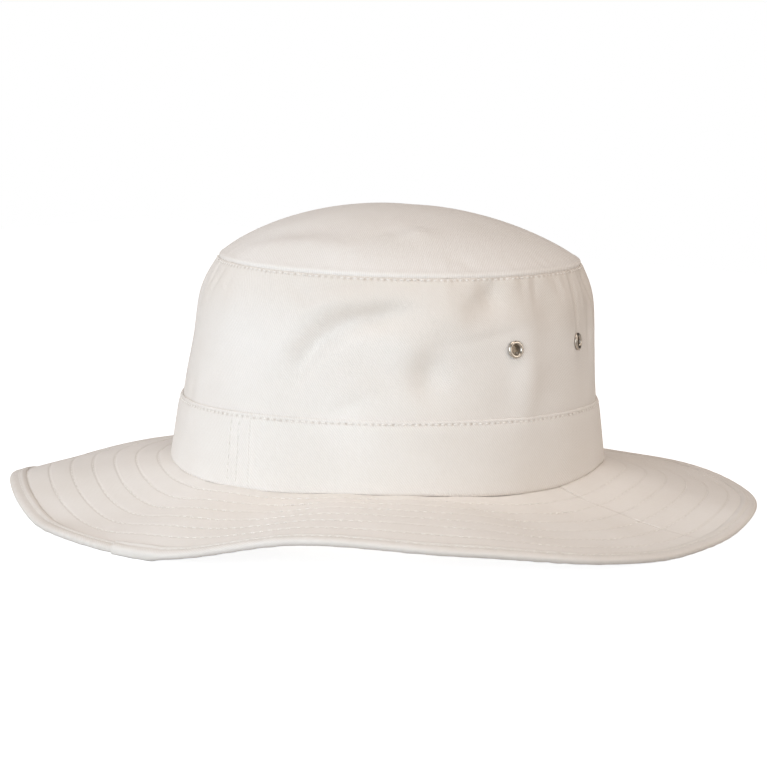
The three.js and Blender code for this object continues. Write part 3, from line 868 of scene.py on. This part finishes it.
top_tips = np.array([top_point(np.array(0.0), np.array(0.0), drop) for drop in (0, CROWN_CLOTH)])
crown_top = cloth_piece(
    "crown_top_panel",
    top_outside,
    top_inside,
    turned(top_outside, PANEL_GRAIN),
    True,
    tips=top_tips,
)
crown_twill = twill("crown_twill", *CROWN_COLOURS, CROWN_RIBS, CROWN_WEAVE_DEPTH)
crown_top.data.materials.append(crown_twill)
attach(crown_top, "root")
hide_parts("crown_top")


# Eyelets: four pressed brass rings, nickel plated and a little dulled, that let the crown
# breathe. Each has a rolled rim outside, a barrel through the cloth and a washer inside.
EYELET_SIDES = 48
# Its section from the barrel's outer end through the cloth, round the washer and back out to
# the rolled rim: radius, and height over the cloth
EYELET_PROFILE = [
    (2.1, 0.55),
    (2.08, -1.2),
    (2.1, -2.5),
    (3.35, -2.5),
    (3.4, -1.95),
    (2.6, -1.9),
    (2.6, 0.1),
    (3.45, 0.12),
    (3.6, 0.4),
    (3.55, 0.8),
    (3.3, 1.1),
    (2.95, 1.25),
    (2.6, 1.2),
    (2.3, 1.0),
]

NICKEL_COLOURS = (0.44, 0.385, 0.32), (0.66, 0.61, 0.54)
BARREL_SHADE_COLOUR = (0.36, 0.31, 0.255)

nickel = bpy.data.materials.new("eyelet_nickel")
nickel.use_nodes = True
nickel_tree = nickel.node_tree
nickel_surface = nickel_tree.nodes["Principled BSDF"]
nickel_place = nickel_tree.nodes.new("ShaderNodeTexCoord")
nickel_noise = nickel_tree.nodes.new("ShaderNodeTexNoise")
nickel_noise.inputs["Scale"].default_value = 900
nickel_noise.inputs["Detail"].default_value = 4
nickel_tree.links.new(nickel_place.outputs["Object"], nickel_noise.inputs["Vector"])
nickel_dulling = nickel_tree.nodes.new("ShaderNodeMapRange")
nickel_dulling.inputs["To Min"].default_value = 0.22
nickel_dulling.inputs["To Max"].default_value = 0.42
nickel_tree.links.new(nickel_noise.outputs["Fac"], nickel_dulling.inputs["Value"])
# The barrel is duller than the rim, and the shade inside the hole is painted on it as a darker
# # colour. The cloth map of an eyelet gives how many stops of its section a spot is from the
# barrel's outer end, and the barrel is two of them.
barrel = nickel_tree.nodes.new("ShaderNodeMapRange")
barrel.inputs["From Min"].default_value = 2.0
barrel.inputs["From Max"].default_value = 2.6
barrel.inputs["To Min"].default_value = 1
barrel.inputs["To Max"].default_value = 0
nickel_tree.links.new(cloth_place(nickel_tree)[1], barrel.inputs["Value"])
barrel_share = barrel.outputs["Result"]
nickel_colour = colour_mix(nickel_tree, nickel_noise.outputs["Fac"], *NICKEL_COLOURS)
nickel_colour = colour_mix(nickel_tree, barrel_share, nickel_colour, BARREL_SHADE_COLOUR)
nickel_tree.links.new(nickel_colour, nickel_surface.inputs["Base Color"])
nickel_roughness = math_node(
    nickel_tree, "MULTIPLY_ADD", barrel_share, 0.4, nickel_dulling.outputs["Result"]
)
nickel_tree.links.new(nickel_roughness, nickel_surface.inputs["Roughness"])
nickel_surface.inputs["Metallic"].default_value = 1.0

for side, bearing in EYELETS:
    near = np.array([bearing - 2.0, bearing + 2.0])
    across = np.diff(crown_point(near, EYELET_HEIGHT, 0), axis=0)[0]
    heights = np.array([EYELET_HEIGHT - 3.0, EYELET_HEIGHT + 3.0])
    upward = np.diff(crown_point(bearing, heights, 0), axis=0)[0]
    middle = crown_point(np.array(bearing), np.array(EYELET_HEIGHT), 0)
    outward = np.cross(across, upward)
    outward /= np.linalg.norm(outward)
    across /= np.linalg.norm(across)
    upward = np.cross(outward, across)
    turns = np.arange(EYELET_SIDES) * 2 * math.pi / EYELET_SIDES
    spokes = np.cos(turns)[:, None] * across + np.sin(turns)[:, None] * upward
    rings = np.array([middle + spokes * radius + outward * rise for radius, rise in EYELET_PROFILE])
    index = np.arange(rings.shape[0] * EYELET_SIDES).reshape(-1, EYELET_SIDES)
    after, beside = np.roll(index, -1, 0), np.roll(index, -1, 1)
    quads = np.stack([index, after, np.roll(after, -1, 1), beside], -1).reshape(-1, 4)
    stop = index // EYELET_SIDES
    quad_stops = np.stack([stop, stop + 1, stop + 1, stop], -1).reshape(-1, 4)
    no_triangles = np.zeros((0, 3), int)
    places = [np.stack([quad_stops, quad_stops], -1) * 1000.0, np.zeros((0, 3, 2))]
    eyelet = mesh_piece(f"eyelet_{side}_ring", rings.reshape(-1, 3), quads, no_triangles, places)
    eyelet.data.materials.append(nickel)
    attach(eyelet, "root")
    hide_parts(f"eyelet_{side}")


# Hat band: a straight strip of the twill folded along its top edge and topstitched round
# the foot of the crown. Its ends meet in a lapped seam held by two upright rows of stitches.
BAND_CLOTH_OUT = 1.4
BAND_CLOTH_IN = 0.35
# The lap's edge leans from one bearing at its foot to another at the band's top, and its two
# rows of stitches are so many degrees from it.
LAP_FOOT_BEARING = -1.5
LAP_TOP_BEARING = -2.7
LAP_ROWS = [-3.5, -6.3]
LAP_ROW_FOOT = 1.5
LAP_ROW_TOP = 25.6
LAP_STITCHES = 9
LAP_STITCH = (2.2, 0.14, 0.35)

# Points lie closer together at the lap, along the fold and at the band's foot.
band_bearings = np.unique(
    np.concatenate(
        [np.linspace(-180, 180, 661)[:-1], np.linspace(-10.5, -4.1, 40), np.linspace(-4, 0, 50)]
    )
)
band_heights = np.concatenate(
    [
        [-0.25, 0, 0.3, 0.6, 1, 1.5],
        np.arange(2.4, 24.5, 1.2),
        np.arange(24.9, 28.2, 0.28),
        [28.3, 28.42, 28.5],
    ]
)
band_chance = np.random.default_rng(23)
band_grid_bearing, band_grid_height = np.meshgrid(band_bearings, band_heights)
lap_lean = LAP_TOP_BEARING - LAP_FOOT_BEARING
lap_bearing = LAP_FOOT_BEARING + lap_lean * band_grid_height / BAND_HEIGHT
past_lap = band_grid_bearing - lap_bearing
lap_rise = 0.4 * 0.5 * (1 - np.tanh(past_lap / 0.1)) * np.exp(-np.maximum(-past_lap, 0) / 7)
lap_grooves = sum(0.1 * np.exp(-(((past_lap - row) / 0.3) ** 2)) for row in LAP_ROWS)
to_fold = BAND_HEIGHT - band_grid_height
fold_round = 0.5 * (1 - np.sqrt(1 - np.clip(1 - to_fold / 0.7, 0, 1) ** 2))
fold_flat = 0.55 * np.exp(-((to_fold / 3) ** 2))
# The foot of the band is drawn in where it meets the brim, most of all on the +X side.
foot_open = 0.25 + 0.75 * np.exp(-(((band_grid_bearing - 75) / 45) ** 2))
foot_round = foot_open * np.clip((1.5 - band_grid_height) / 1.75, 0, 1) ** 2
band_relief = (
    lap_rise
    - lap_grooves
    - fold_round
    - fold_flat
    - foot_round
    - 0.15 * np.exp(-(((band_grid_height - BAND_STITCH_HEIGHT) / 0.5) ** 2))
    + ring_ripple(band_bearings, band_chance, 15, 60, 0.05)[None] * np.exp(-to_fold / 7)
    + cloth_noise(band_grid_bearing, band_grid_height, band_chance, 12, 0.13)
    * (1 - np.exp(-to_fold / 4))
)
band_lining = BAND_CLOTH_IN - 0.6 * fold_flat + 0.2 * fold_round
band_outside = crown_point(band_grid_bearing, band_grid_height, BAND_CLOTH_OUT + band_relief)
band_inside = crown_point(band_grid_bearing, band_grid_height, band_lining)
hat_band = cloth_piece(
    "hat_band_strip",
    band_outside,
    band_inside,
    (np.radians(band_grid_bearing) * SIDE_RADIUS, band_grid_height),
    True,
)
hat_band.data.materials.append(sewn_twill)
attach(hat_band, "root")
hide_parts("hat_band")

band_path, band_out = side_path(BAND_STITCH_HEIGHT, BAND_CLOTH_OUT - 0.58, ring_bearings)
band_rows = [stitch_row(band_path, band_out, True, BAND_STITCHES, *CROWN_STITCH)]
for row in LAP_ROWS:
    heights = np.linspace(LAP_ROW_FOOT, LAP_ROW_TOP, 60)
    bearings = LAP_FOOT_BEARING + lap_lean * heights / BAND_HEIGHT + row
    path = crown_point(bearings, heights, BAND_CLOTH_OUT + 0.05)
    out = crown_point(bearings, heights, BAND_CLOTH_OUT + 1.05) - path
    band_rows.append(stitch_row(path, out, False, LAP_STITCHES, *LAP_STITCH))
sewn(thread_piece("band_stitches", band_rows))


# Brim: two halves of doubled twill that meet in a seam over each ear. A single row of
# stitches winds round it as a spiral, nine millimetres apart, and quilts its layers.
BRIM_HALF_CLOTH = 0.7
# The seam that joins it to the crown: height over the table, and distance out from the
# crown's foot
SEAM_HEIGHT = 18.7
BAND_STAND = 1.4
# A fold's fall and curl say how far the brim goes down across this width: the fall evenly,
# and the curl as this power of the way out.
FOLD_WIDTH = 66
CURL_POWER = 2.2
# The binding covers the brim from this far out, and keeps the brim's middle this high over
# the table where a low fold rests.
BINDING_LIP = 61.2
BINDING_DEPTH = 2.0
# The spiral of stitches passes the -Y end this far out, and moves out by a step each turn.
ROW_START = 6.3
ROW_STEP = 9.2
ROW_STITCH_SPACING = 3.55
ROW_STITCH = (2.5, 0.22, 0.45)
# It shows from where it leaves the band up to the binding.
ROWS_SHOW_FROM = 2.6
ROWS_SHOW_TO = 60.2
# The radius of the brim's inner edge on its flat cloth
FLAT_RADIUS = 90
# The side seams run a little slantwise: their bearing, how far back each starts at the
# band, and how far it swings forward over its length in millimetres, in degrees
SIDE_SEAM = 91.5
SEAM_LEAD = 2.9
SEAM_SLANT = 4.0
SEAM_LENGTH = 60
SEAM_MIDDLE_RADIUS = 130
# Small waves of the brim's cloth: bearing, distance out from the band, rise, half width
# round the brim in degrees and half length outward
BRIM_WAVES = [
    (-4, 34, 0.8, 7, 30),
    (12, 34, -0.8, 7, 30),
    (27, 36, 0.5, 8, 26),
    (-18, 36, -0.5, 6, 26),
    (52, 64, 0.5, 13, 22),
    (90, 34, 1.2, 13, 26),
    (100, 20, 0.6, 7, 22),
    (150, 30, 0.5, 9, 30),
    (210, 34, -0.5, 9, 30),
    (250, 26, 0.5, 9, 28),
    (292, 30, -0.4, 8, 26),
]


def brim_middle(bearing, along):
    """A point of the brim's middle layer. A fold that reaches the table settles flat on it."""
    bearing, along = np.broadcast_arrays(np.asarray(bearing, float), np.asarray(along, float))
    rise, fall, curl = brim_fold(bearing)
    out = np.maximum(along, 0)
    drop = fall * out / FOLD_WIDTH + curl * (out / FOLD_WIDTH) ** CURL_POWER
    reach = np.minimum(along, 0)
    strips = 12
    for part in (np.arange(strips) + 0.5) / strips:
        bend = (part * out / FOLD_WIDTH) ** (CURL_POWER - 1)
        slope = (fall + CURL_POWER * curl * bend) / FOLD_WIDTH
        reach = reach + out / strips * np.sqrt(1 - slope**2)
    wave = np.zeros(along.shape)
    for at_bearing, at_along, high, half_turn, half_out in BRIM_WAVES:
        turn = (bearing - at_bearing + 180) % 360 - 180
        wave += high * np.exp(-((turn / half_turn) ** 2) - ((along - at_along) / half_out) ** 2)
    settle = 0.35
    height = (SEAM_HEIGHT + rise - drop + wave - BINDING_DEPTH) / settle
    x, y = oval_point(bearing, *CROWN_SECTIONS[0][1:5], BAND_STAND + reach)
    return np.stack([x, y, BINDING_DEPTH + settle * np.logaddexp(0, height)], -1)


def brim_normal(bearing, along):
    """The direction straight up out of the brim."""
    out = brim_middle(bearing, along + 0.5) - brim_middle(bearing, along - 0.5)
    ahead = brim_middle(bearing + 0.3, along) - brim_middle(bearing - 0.3, along)
    up = np.cross(out, ahead)
    return up / np.linalg.norm(up, axis=-1, keepdims=True)


def row_along(bearing, row):
    """How far out from the band a turn of the stitch spiral is at a bearing."""
    return ROW_START + ROW_STEP * (row - 1 + bearing / 360)


def brim_lines(tree):
    """Where the spiral of stitches and the side seams draw the brim's cloth down, with painted
    shade along them.
    """
    along_cloth, up_cloth = cloth_place(tree)
    turn = math_node(tree, "ARCTAN2", along_cloth, math_node(tree, "MULTIPLY", up_cloth, -1))
    squares = []
    for side in (along_cloth, up_cloth):
        squares.append(math_node(tree, "POWER", math_node(tree, "ABSOLUTE", side), 2))
    radius = math_node(tree, "SQRT", math_node(tree, "ADD", *squares))
    out = math_node(tree, "SUBTRACT", radius, FLAT_RADIUS * 0.001)
    past_start = math_node(tree, "SUBTRACT", out, ROW_START * 0.001)
    turns_out = math_node(tree, "DIVIDE", past_start, ROW_STEP * 0.001)
    turns_round = math_node(tree, "DIVIDE", turn, 2 * math.pi)
    rows_out = math_node(tree, "ADD", math_node(tree, "SUBTRACT", turns_out, turns_round), 0.5)
    from_row = math_node(tree, "SUBTRACT", math_node(tree, "FRACT", rows_out), 0.5)
    rows = tree.nodes.new("ShaderNodeGroup")
    rows.node_tree = holes_group
    tree.links.new(math_node(tree, "MULTIPLY", from_row, ROW_STEP * 0.001), rows.inputs["Across"])
    seam_rate = math.radians(SEAM_SLANT) / (SEAM_LENGTH * 0.001)
    seam_turn = math_node(tree, "MULTIPLY_ADD", out, seam_rate, math.radians(SIDE_SEAM - SEAM_LEAD))
    from_seam = math_node(tree, "SUBTRACT", math_node(tree, "ABSOLUTE", turn), seam_turn)
    seams = tree.nodes.new("ShaderNodeGroup")
    seams.node_tree = holes_group
    tree.links.new(math_node(tree, "MULTIPLY", from_seam, radius), seams.inputs["Across"])
    row_share = math_node(tree, "MULTIPLY", rows.outputs["Holes"], 0.3)
    return math_node(tree, "MULTIPLY_ADD", seams.outputs["Holes"], 0.45, row_share)


BRIM_COLOURS = (0.85, 0.805, 0.76), (0.74, 0.68, 0.61)
BRIM_RIBS = (-100, 1200)
BRIM_WEAVE_DEPTH = 0.00009
brim_twill = twill("brim_twill", *BRIM_COLOURS, BRIM_RIBS, BRIM_WEAVE_DEPTH, brim_lines)
BRIM_HALVES = [
    {"name": "brim_front", "start": -SIDE_SEAM, "end": SIDE_SEAM, "rows": range(0, 8)},
    {"name": "brim_back", "start": SIDE_SEAM, "end": 360 - SIDE_SEAM, "rows": range(-1, 7)},
]
BRIM_COLUMNS = 400
BRIM_INNER_EDGE = -2.8
BRIM_OUTER_EDGE = 66.1
# Where points lie between two rows of stitches, as shares of the way, and beside a side
# seam, in degrees
ROW_STOPS = np.array([0, 0.35, 0.7, 1.2, 2.2, 3.6, 5.6, 7.0, 8.0, 8.5, 8.85]) / ROW_STEP
SEAM_STOPS = np.array([0.01, 0.1, 0.2, 0.35, 0.5])
brim_chance = np.random.default_rng(31)

for half in BRIM_HALVES:
    inner_turns = np.linspace(half["start"] + 0.7, half["end"] - 0.7, BRIM_COLUMNS)
    bearings = np.concatenate(
        [half["start"] + SEAM_STOPS, inner_turns, half["end"] - SEAM_STOPS[::-1]]
    )
    stops = [np.full(bearings.shape, BRIM_INNER_EDGE)]
    # Where the spiral is still under the band, its rows are kept apart by a hair.
    rows_here = [row_along(bearings, row) for row in half["rows"]]
    rows_here = [np.maximum(row, -2.4 + 0.1 * index) for index, row in enumerate(rows_here)]
    for low, high in zip(rows_here[:-1], rows_here[1:]):
        for share in ROW_STOPS:
            stops.append(low + (high - low) * share)
    last = rows_here[-1]
    for share in np.linspace(0, 1, 8):
        stops.append(last + (BRIM_OUTER_EDGE - last) * share)
    along = np.array(stops)[::-1]
    to_seam = np.minimum(bearings - half["start"], half["end"] - bearings)
    slant = (along / SEAM_LENGTH * SEAM_SLANT - SEAM_LEAD) * np.exp(-to_seam / 20)
    turn = bearings + slant * np.sin(np.radians(bearings))
    middle = brim_middle(turn, along)
    normal = brim_normal(turn, along)
    # Each row of stitches draws a groove and the cloth swells between them, up to the
    # binding. At a side seam the edges roll in.
    nearest = (along - ROW_START) / ROW_STEP + 1 - turn / 360
    from_row = (nearest - np.round(nearest)) * ROW_STEP
    shown = 1 / (1 + np.exp((along - 60.6) / 0.25))
    quilting = 0.08 * (1 - (np.abs(from_row) / (ROW_STEP / 2) - 1) ** 4)
    groove = 0.15 * np.exp(-((from_row / 0.45) ** 2)) / (1 + np.exp((3 - along) / 0.2))
    seam_edge = np.radians(to_seam) * SEAM_MIDDLE_RADIUS
    roll = 0.05 * np.exp(-((seam_edge / 0.4) ** 2))
    roll = roll - 0.02 * np.exp(-(((seam_edge - 1.4) / 0.9) ** 2))
    uneven = cloth_noise(turn, along, brim_chance, 14, 0.12)
    relief = shown * (quilting - groove + uneven) - roll
    half_cloth = np.where(along > BINDING_LIP, 0.5, BRIM_HALF_CLOTH)
    under_relief = shown * (quilting - groove - uneven)
    outside = middle + normal * (half_cloth + relief)[..., None]
    inside = middle - normal * (half_cloth + under_relief - roll)[..., None]
    inside[..., 2] = np.maximum(inside[..., 2], 0.3)
    flat_radius = FLAT_RADIUS + along
    cloth = (flat_radius * np.sin(np.radians(turn)), -flat_radius * np.cos(np.radians(turn)))
    brim_half = cloth_piece(half["name"] + "_half", outside, inside, cloth, False)
    brim_half.data.materials.append(brim_twill)
    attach(brim_half, "root")
    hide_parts(half["name"])

    stitch_rows = []
    for row in half["rows"]:
        path_bearings = np.arange(half["start"] + 0.4, half["end"] - 0.4, 0.25)
        path_along = row_along(path_bearings, row)
        seen = (path_along > ROWS_SHOW_FROM) & (path_along < ROWS_SHOW_TO)
        if seen.sum() < 20:
            continue
        path_bearings, path_along = path_bearings[seen], path_along[seen]
        row_length = np.radians(np.ptp(path_bearings)) * (FLAT_RADIUS + path_along.mean())
        count = round(row_length / ROW_STITCH_SPACING)
        out = brim_normal(path_bearings, path_along)
        # The stitches stand out most over the front and are pressed in elsewhere.
        pressed = 0.19 + 0.13 * (1 - np.exp(-(((path_bearings - 8) / 34) ** 2)))
        path = brim_middle(path_bearings, path_along) + out * (BRIM_HALF_CLOTH - pressed)[:, None]
        stitch_rows.append(stitch_row(path, out, False, count, *ROW_STITCH))
    row_stitches = thread_piece(half["name"] + "_row_stitches", stitch_rows)
    sewn(row_stitches)


# Binding: a bias strip of twill folded over the brim's edge and stitched through. Its inner
# edge is turned under and stands up as a round ridge, and its ends lap near the front.
BINDING_STITCH_ALONG = 63.9
BINDING_STITCHES = 314
BINDING_STITCH = (2.3, 0.15, 0.3)
# The strip's own width, and the mean radius of the brim's edge that it runs round
BINDING_WIDTH = 22
BINDING_RADIUS = 160
# Stops across the strip from its upper lip round the edge to its lower one: distance out
# along the brim, and height above or below the brim's middle
BINDING_SKIN = [
    (60.75, 0.7),
    (60.78, 0.8),
    (61.05, 0.94),
    (61.55, 1.16),
    (62.15, 1.36),
    (62.75, 1.44),
    (63.3, 1.32),
    (63.7, 1.18),
    (64.1, 1.12),
    (64.5, 1.16),
    (65.2, 1.26),
    (66.0, 1.26),
    (66.8, 1.1),
    (67.4, 0.8),
    (67.8, 0.35),
    (67.95, -0.1),
    (67.8, -0.7),
    (67.4, -1.4),
    (66.8, -1.85),
    (66.0, -2.0),
    (65.0, -1.95),
    (64.1, -1.75),
    (63.2, -1.9),
    (62.2, -2.0),
    (61.4, -1.8),
    (61.1, -1.3),
    (61.2, -0.85),
]
BINDING_LINING = [
    (61.6, 0.62),
    (64.0, 0.6),
    (66.2, 0.6),
    (66.4, 0.0),
    (66.2, -0.6),
    (64.0, -0.6),
    (61.6, -0.62),
]
# The strip's ends lap over some degrees. The upper end's edge crosses the strip slantwise,
# at this bearing where the strip is this far out.
BINDING_LAP_BEARING = -6.9
BINDING_LAP_START = 64.2
BINDING_LAP_SLANT = 0.16
BINDING_LAP_LENGTH = 7.5
# On the flat strip, in metres: its outer fold, how far the painted shade spreads from it, and the
# # place along it of the lap's edge
FOLD_UP = 0.0102
FOLD_SHADE_SPREAD = 0.0034
LAP_ALONG = -0.0176

binding_bearings = np.unique(
    np.concatenate([np.linspace(-180, 180, 901)[:-1], np.linspace(-12, -4, 60)])
)


def painted_fold_shade(tree):
    """Painted shade: the binding's outer fold, where it rolls under, is darker and warmer, and less
    so past the lap of its ends.
    """
    along_cloth, up_cloth = cloth_place(tree)
    up_from_fold = math_node(tree, "SUBTRACT", up_cloth, FOLD_UP)
    spread = math_node(tree, "ABSOLUTE", math_node(tree, "DIVIDE", up_from_fold, FOLD_SHADE_SPREAD))
    spread = math_node(tree, "POWER", spread, 2)
    fold_shade = math_node(tree, "EXPONENT", math_node(tree, "MULTIPLY", spread, -1))
    past_lap = math_node(tree, "SUBTRACT", along_cloth, LAP_ALONG)
    past_lap = math_node(tree, "MULTIPLY_ADD", up_from_fold, 0.26, past_lap)
    share = tree.nodes.new("ShaderNodeMapRange")
    share.inputs["From Min"].default_value = -0.0003
    share.inputs["From Max"].default_value = 0.0003
    share.inputs["To Min"].default_value = 0.34
    share.inputs["To Max"].default_value = 0.1
    tree.links.new(past_lap, share.inputs["Value"])
    return math_node(tree, "MULTIPLY", fold_shade, share.outputs["Result"])


BINDING_COLOURS = (0.8, 0.755, 0.705), (0.685, 0.625, 0.56)
BINDING_RIBS = (820, 820)
BINDING_WEAVE_DEPTH = 0.00006
binding_twill = twill(
    "binding_twill", *BINDING_COLOURS, BINDING_RIBS, BINDING_WEAVE_DEPTH, painted_fold_shade
)


def binding_points(stops, is_skin):
    """Points of the binding for a list of stops, at all its bearings."""
    stops_along, stops_lift = np.array(stops).T
    turn, along = np.meshgrid(binding_bearings, stops_along)
    lift = np.broadcast_to(stops_lift[:, None], turn.shape)
    if is_skin:
        lap_start = BINDING_LAP_BEARING + (along - BINDING_LAP_START) * BINDING_LAP_SLANT
        past = turn - lap_start
        begun = 0.5 * (1 + np.tanh(past / 0.12))
        lapped = begun * 0.5 * (1 - np.tanh((past - BINDING_LAP_LENGTH) / 1.2))
        puckers = ring_ripple(binding_bearings, np.random.default_rng(43), 60, 150, 0.07)
        lift = lift * (1 + 0.5 * lapped + puckers[None] / 2)
        along = along + 0.35 * lapped * (along > 66)
    middle = brim_middle(turn, along)
    normal = brim_normal(turn, np.minimum(along, 66.5))
    points = middle + normal * lift[..., None]
    points[..., 2] = np.maximum(points[..., 2], 0)
    return points


binding_skin = binding_points(BINDING_SKIN[::-1], True)
binding_lining = binding_points(BINDING_LINING[::-1], False)
lining_places = np.linspace(0, len(BINDING_LINING) - 1, len(BINDING_SKIN))
low_stop = np.floor(lining_places).astype(int)
high_stop = np.minimum(low_stop + 1, len(BINDING_LINING) - 1)
lining_share = (lining_places - low_stop)[:, None, None]
low_lining = binding_lining[low_stop] * (1 - lining_share)
binding_lining = low_lining + binding_lining[high_stop] * lining_share
strip_width = np.linspace(0, BINDING_WIDTH, len(BINDING_SKIN))
strip_place = np.meshgrid(np.radians(binding_bearings) * BINDING_RADIUS, strip_width)
brim_binding = cloth_piece("brim_edge_binding", binding_skin, binding_lining, strip_place, True)
brim_binding.data.materials.append(binding_twill)
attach(brim_binding, "root")
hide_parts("brim_binding")

# The row that holds it shows above and below, so far from the brim's middle.
edge_bearings = np.arange(1800) / 5
edge_rows = []
for facing, lift in ((1, 1.14), (-1, 1.64)):
    out = brim_normal(edge_bearings, BINDING_STITCH_ALONG) * facing
    path = brim_middle(edge_bearings, BINDING_STITCH_ALONG) + out * lift
    edge_rows.append(stitch_row(path, out, True, BINDING_STITCHES, *BINDING_STITCH))
sewn(thread_piece("binding_stitches", edge_rows))
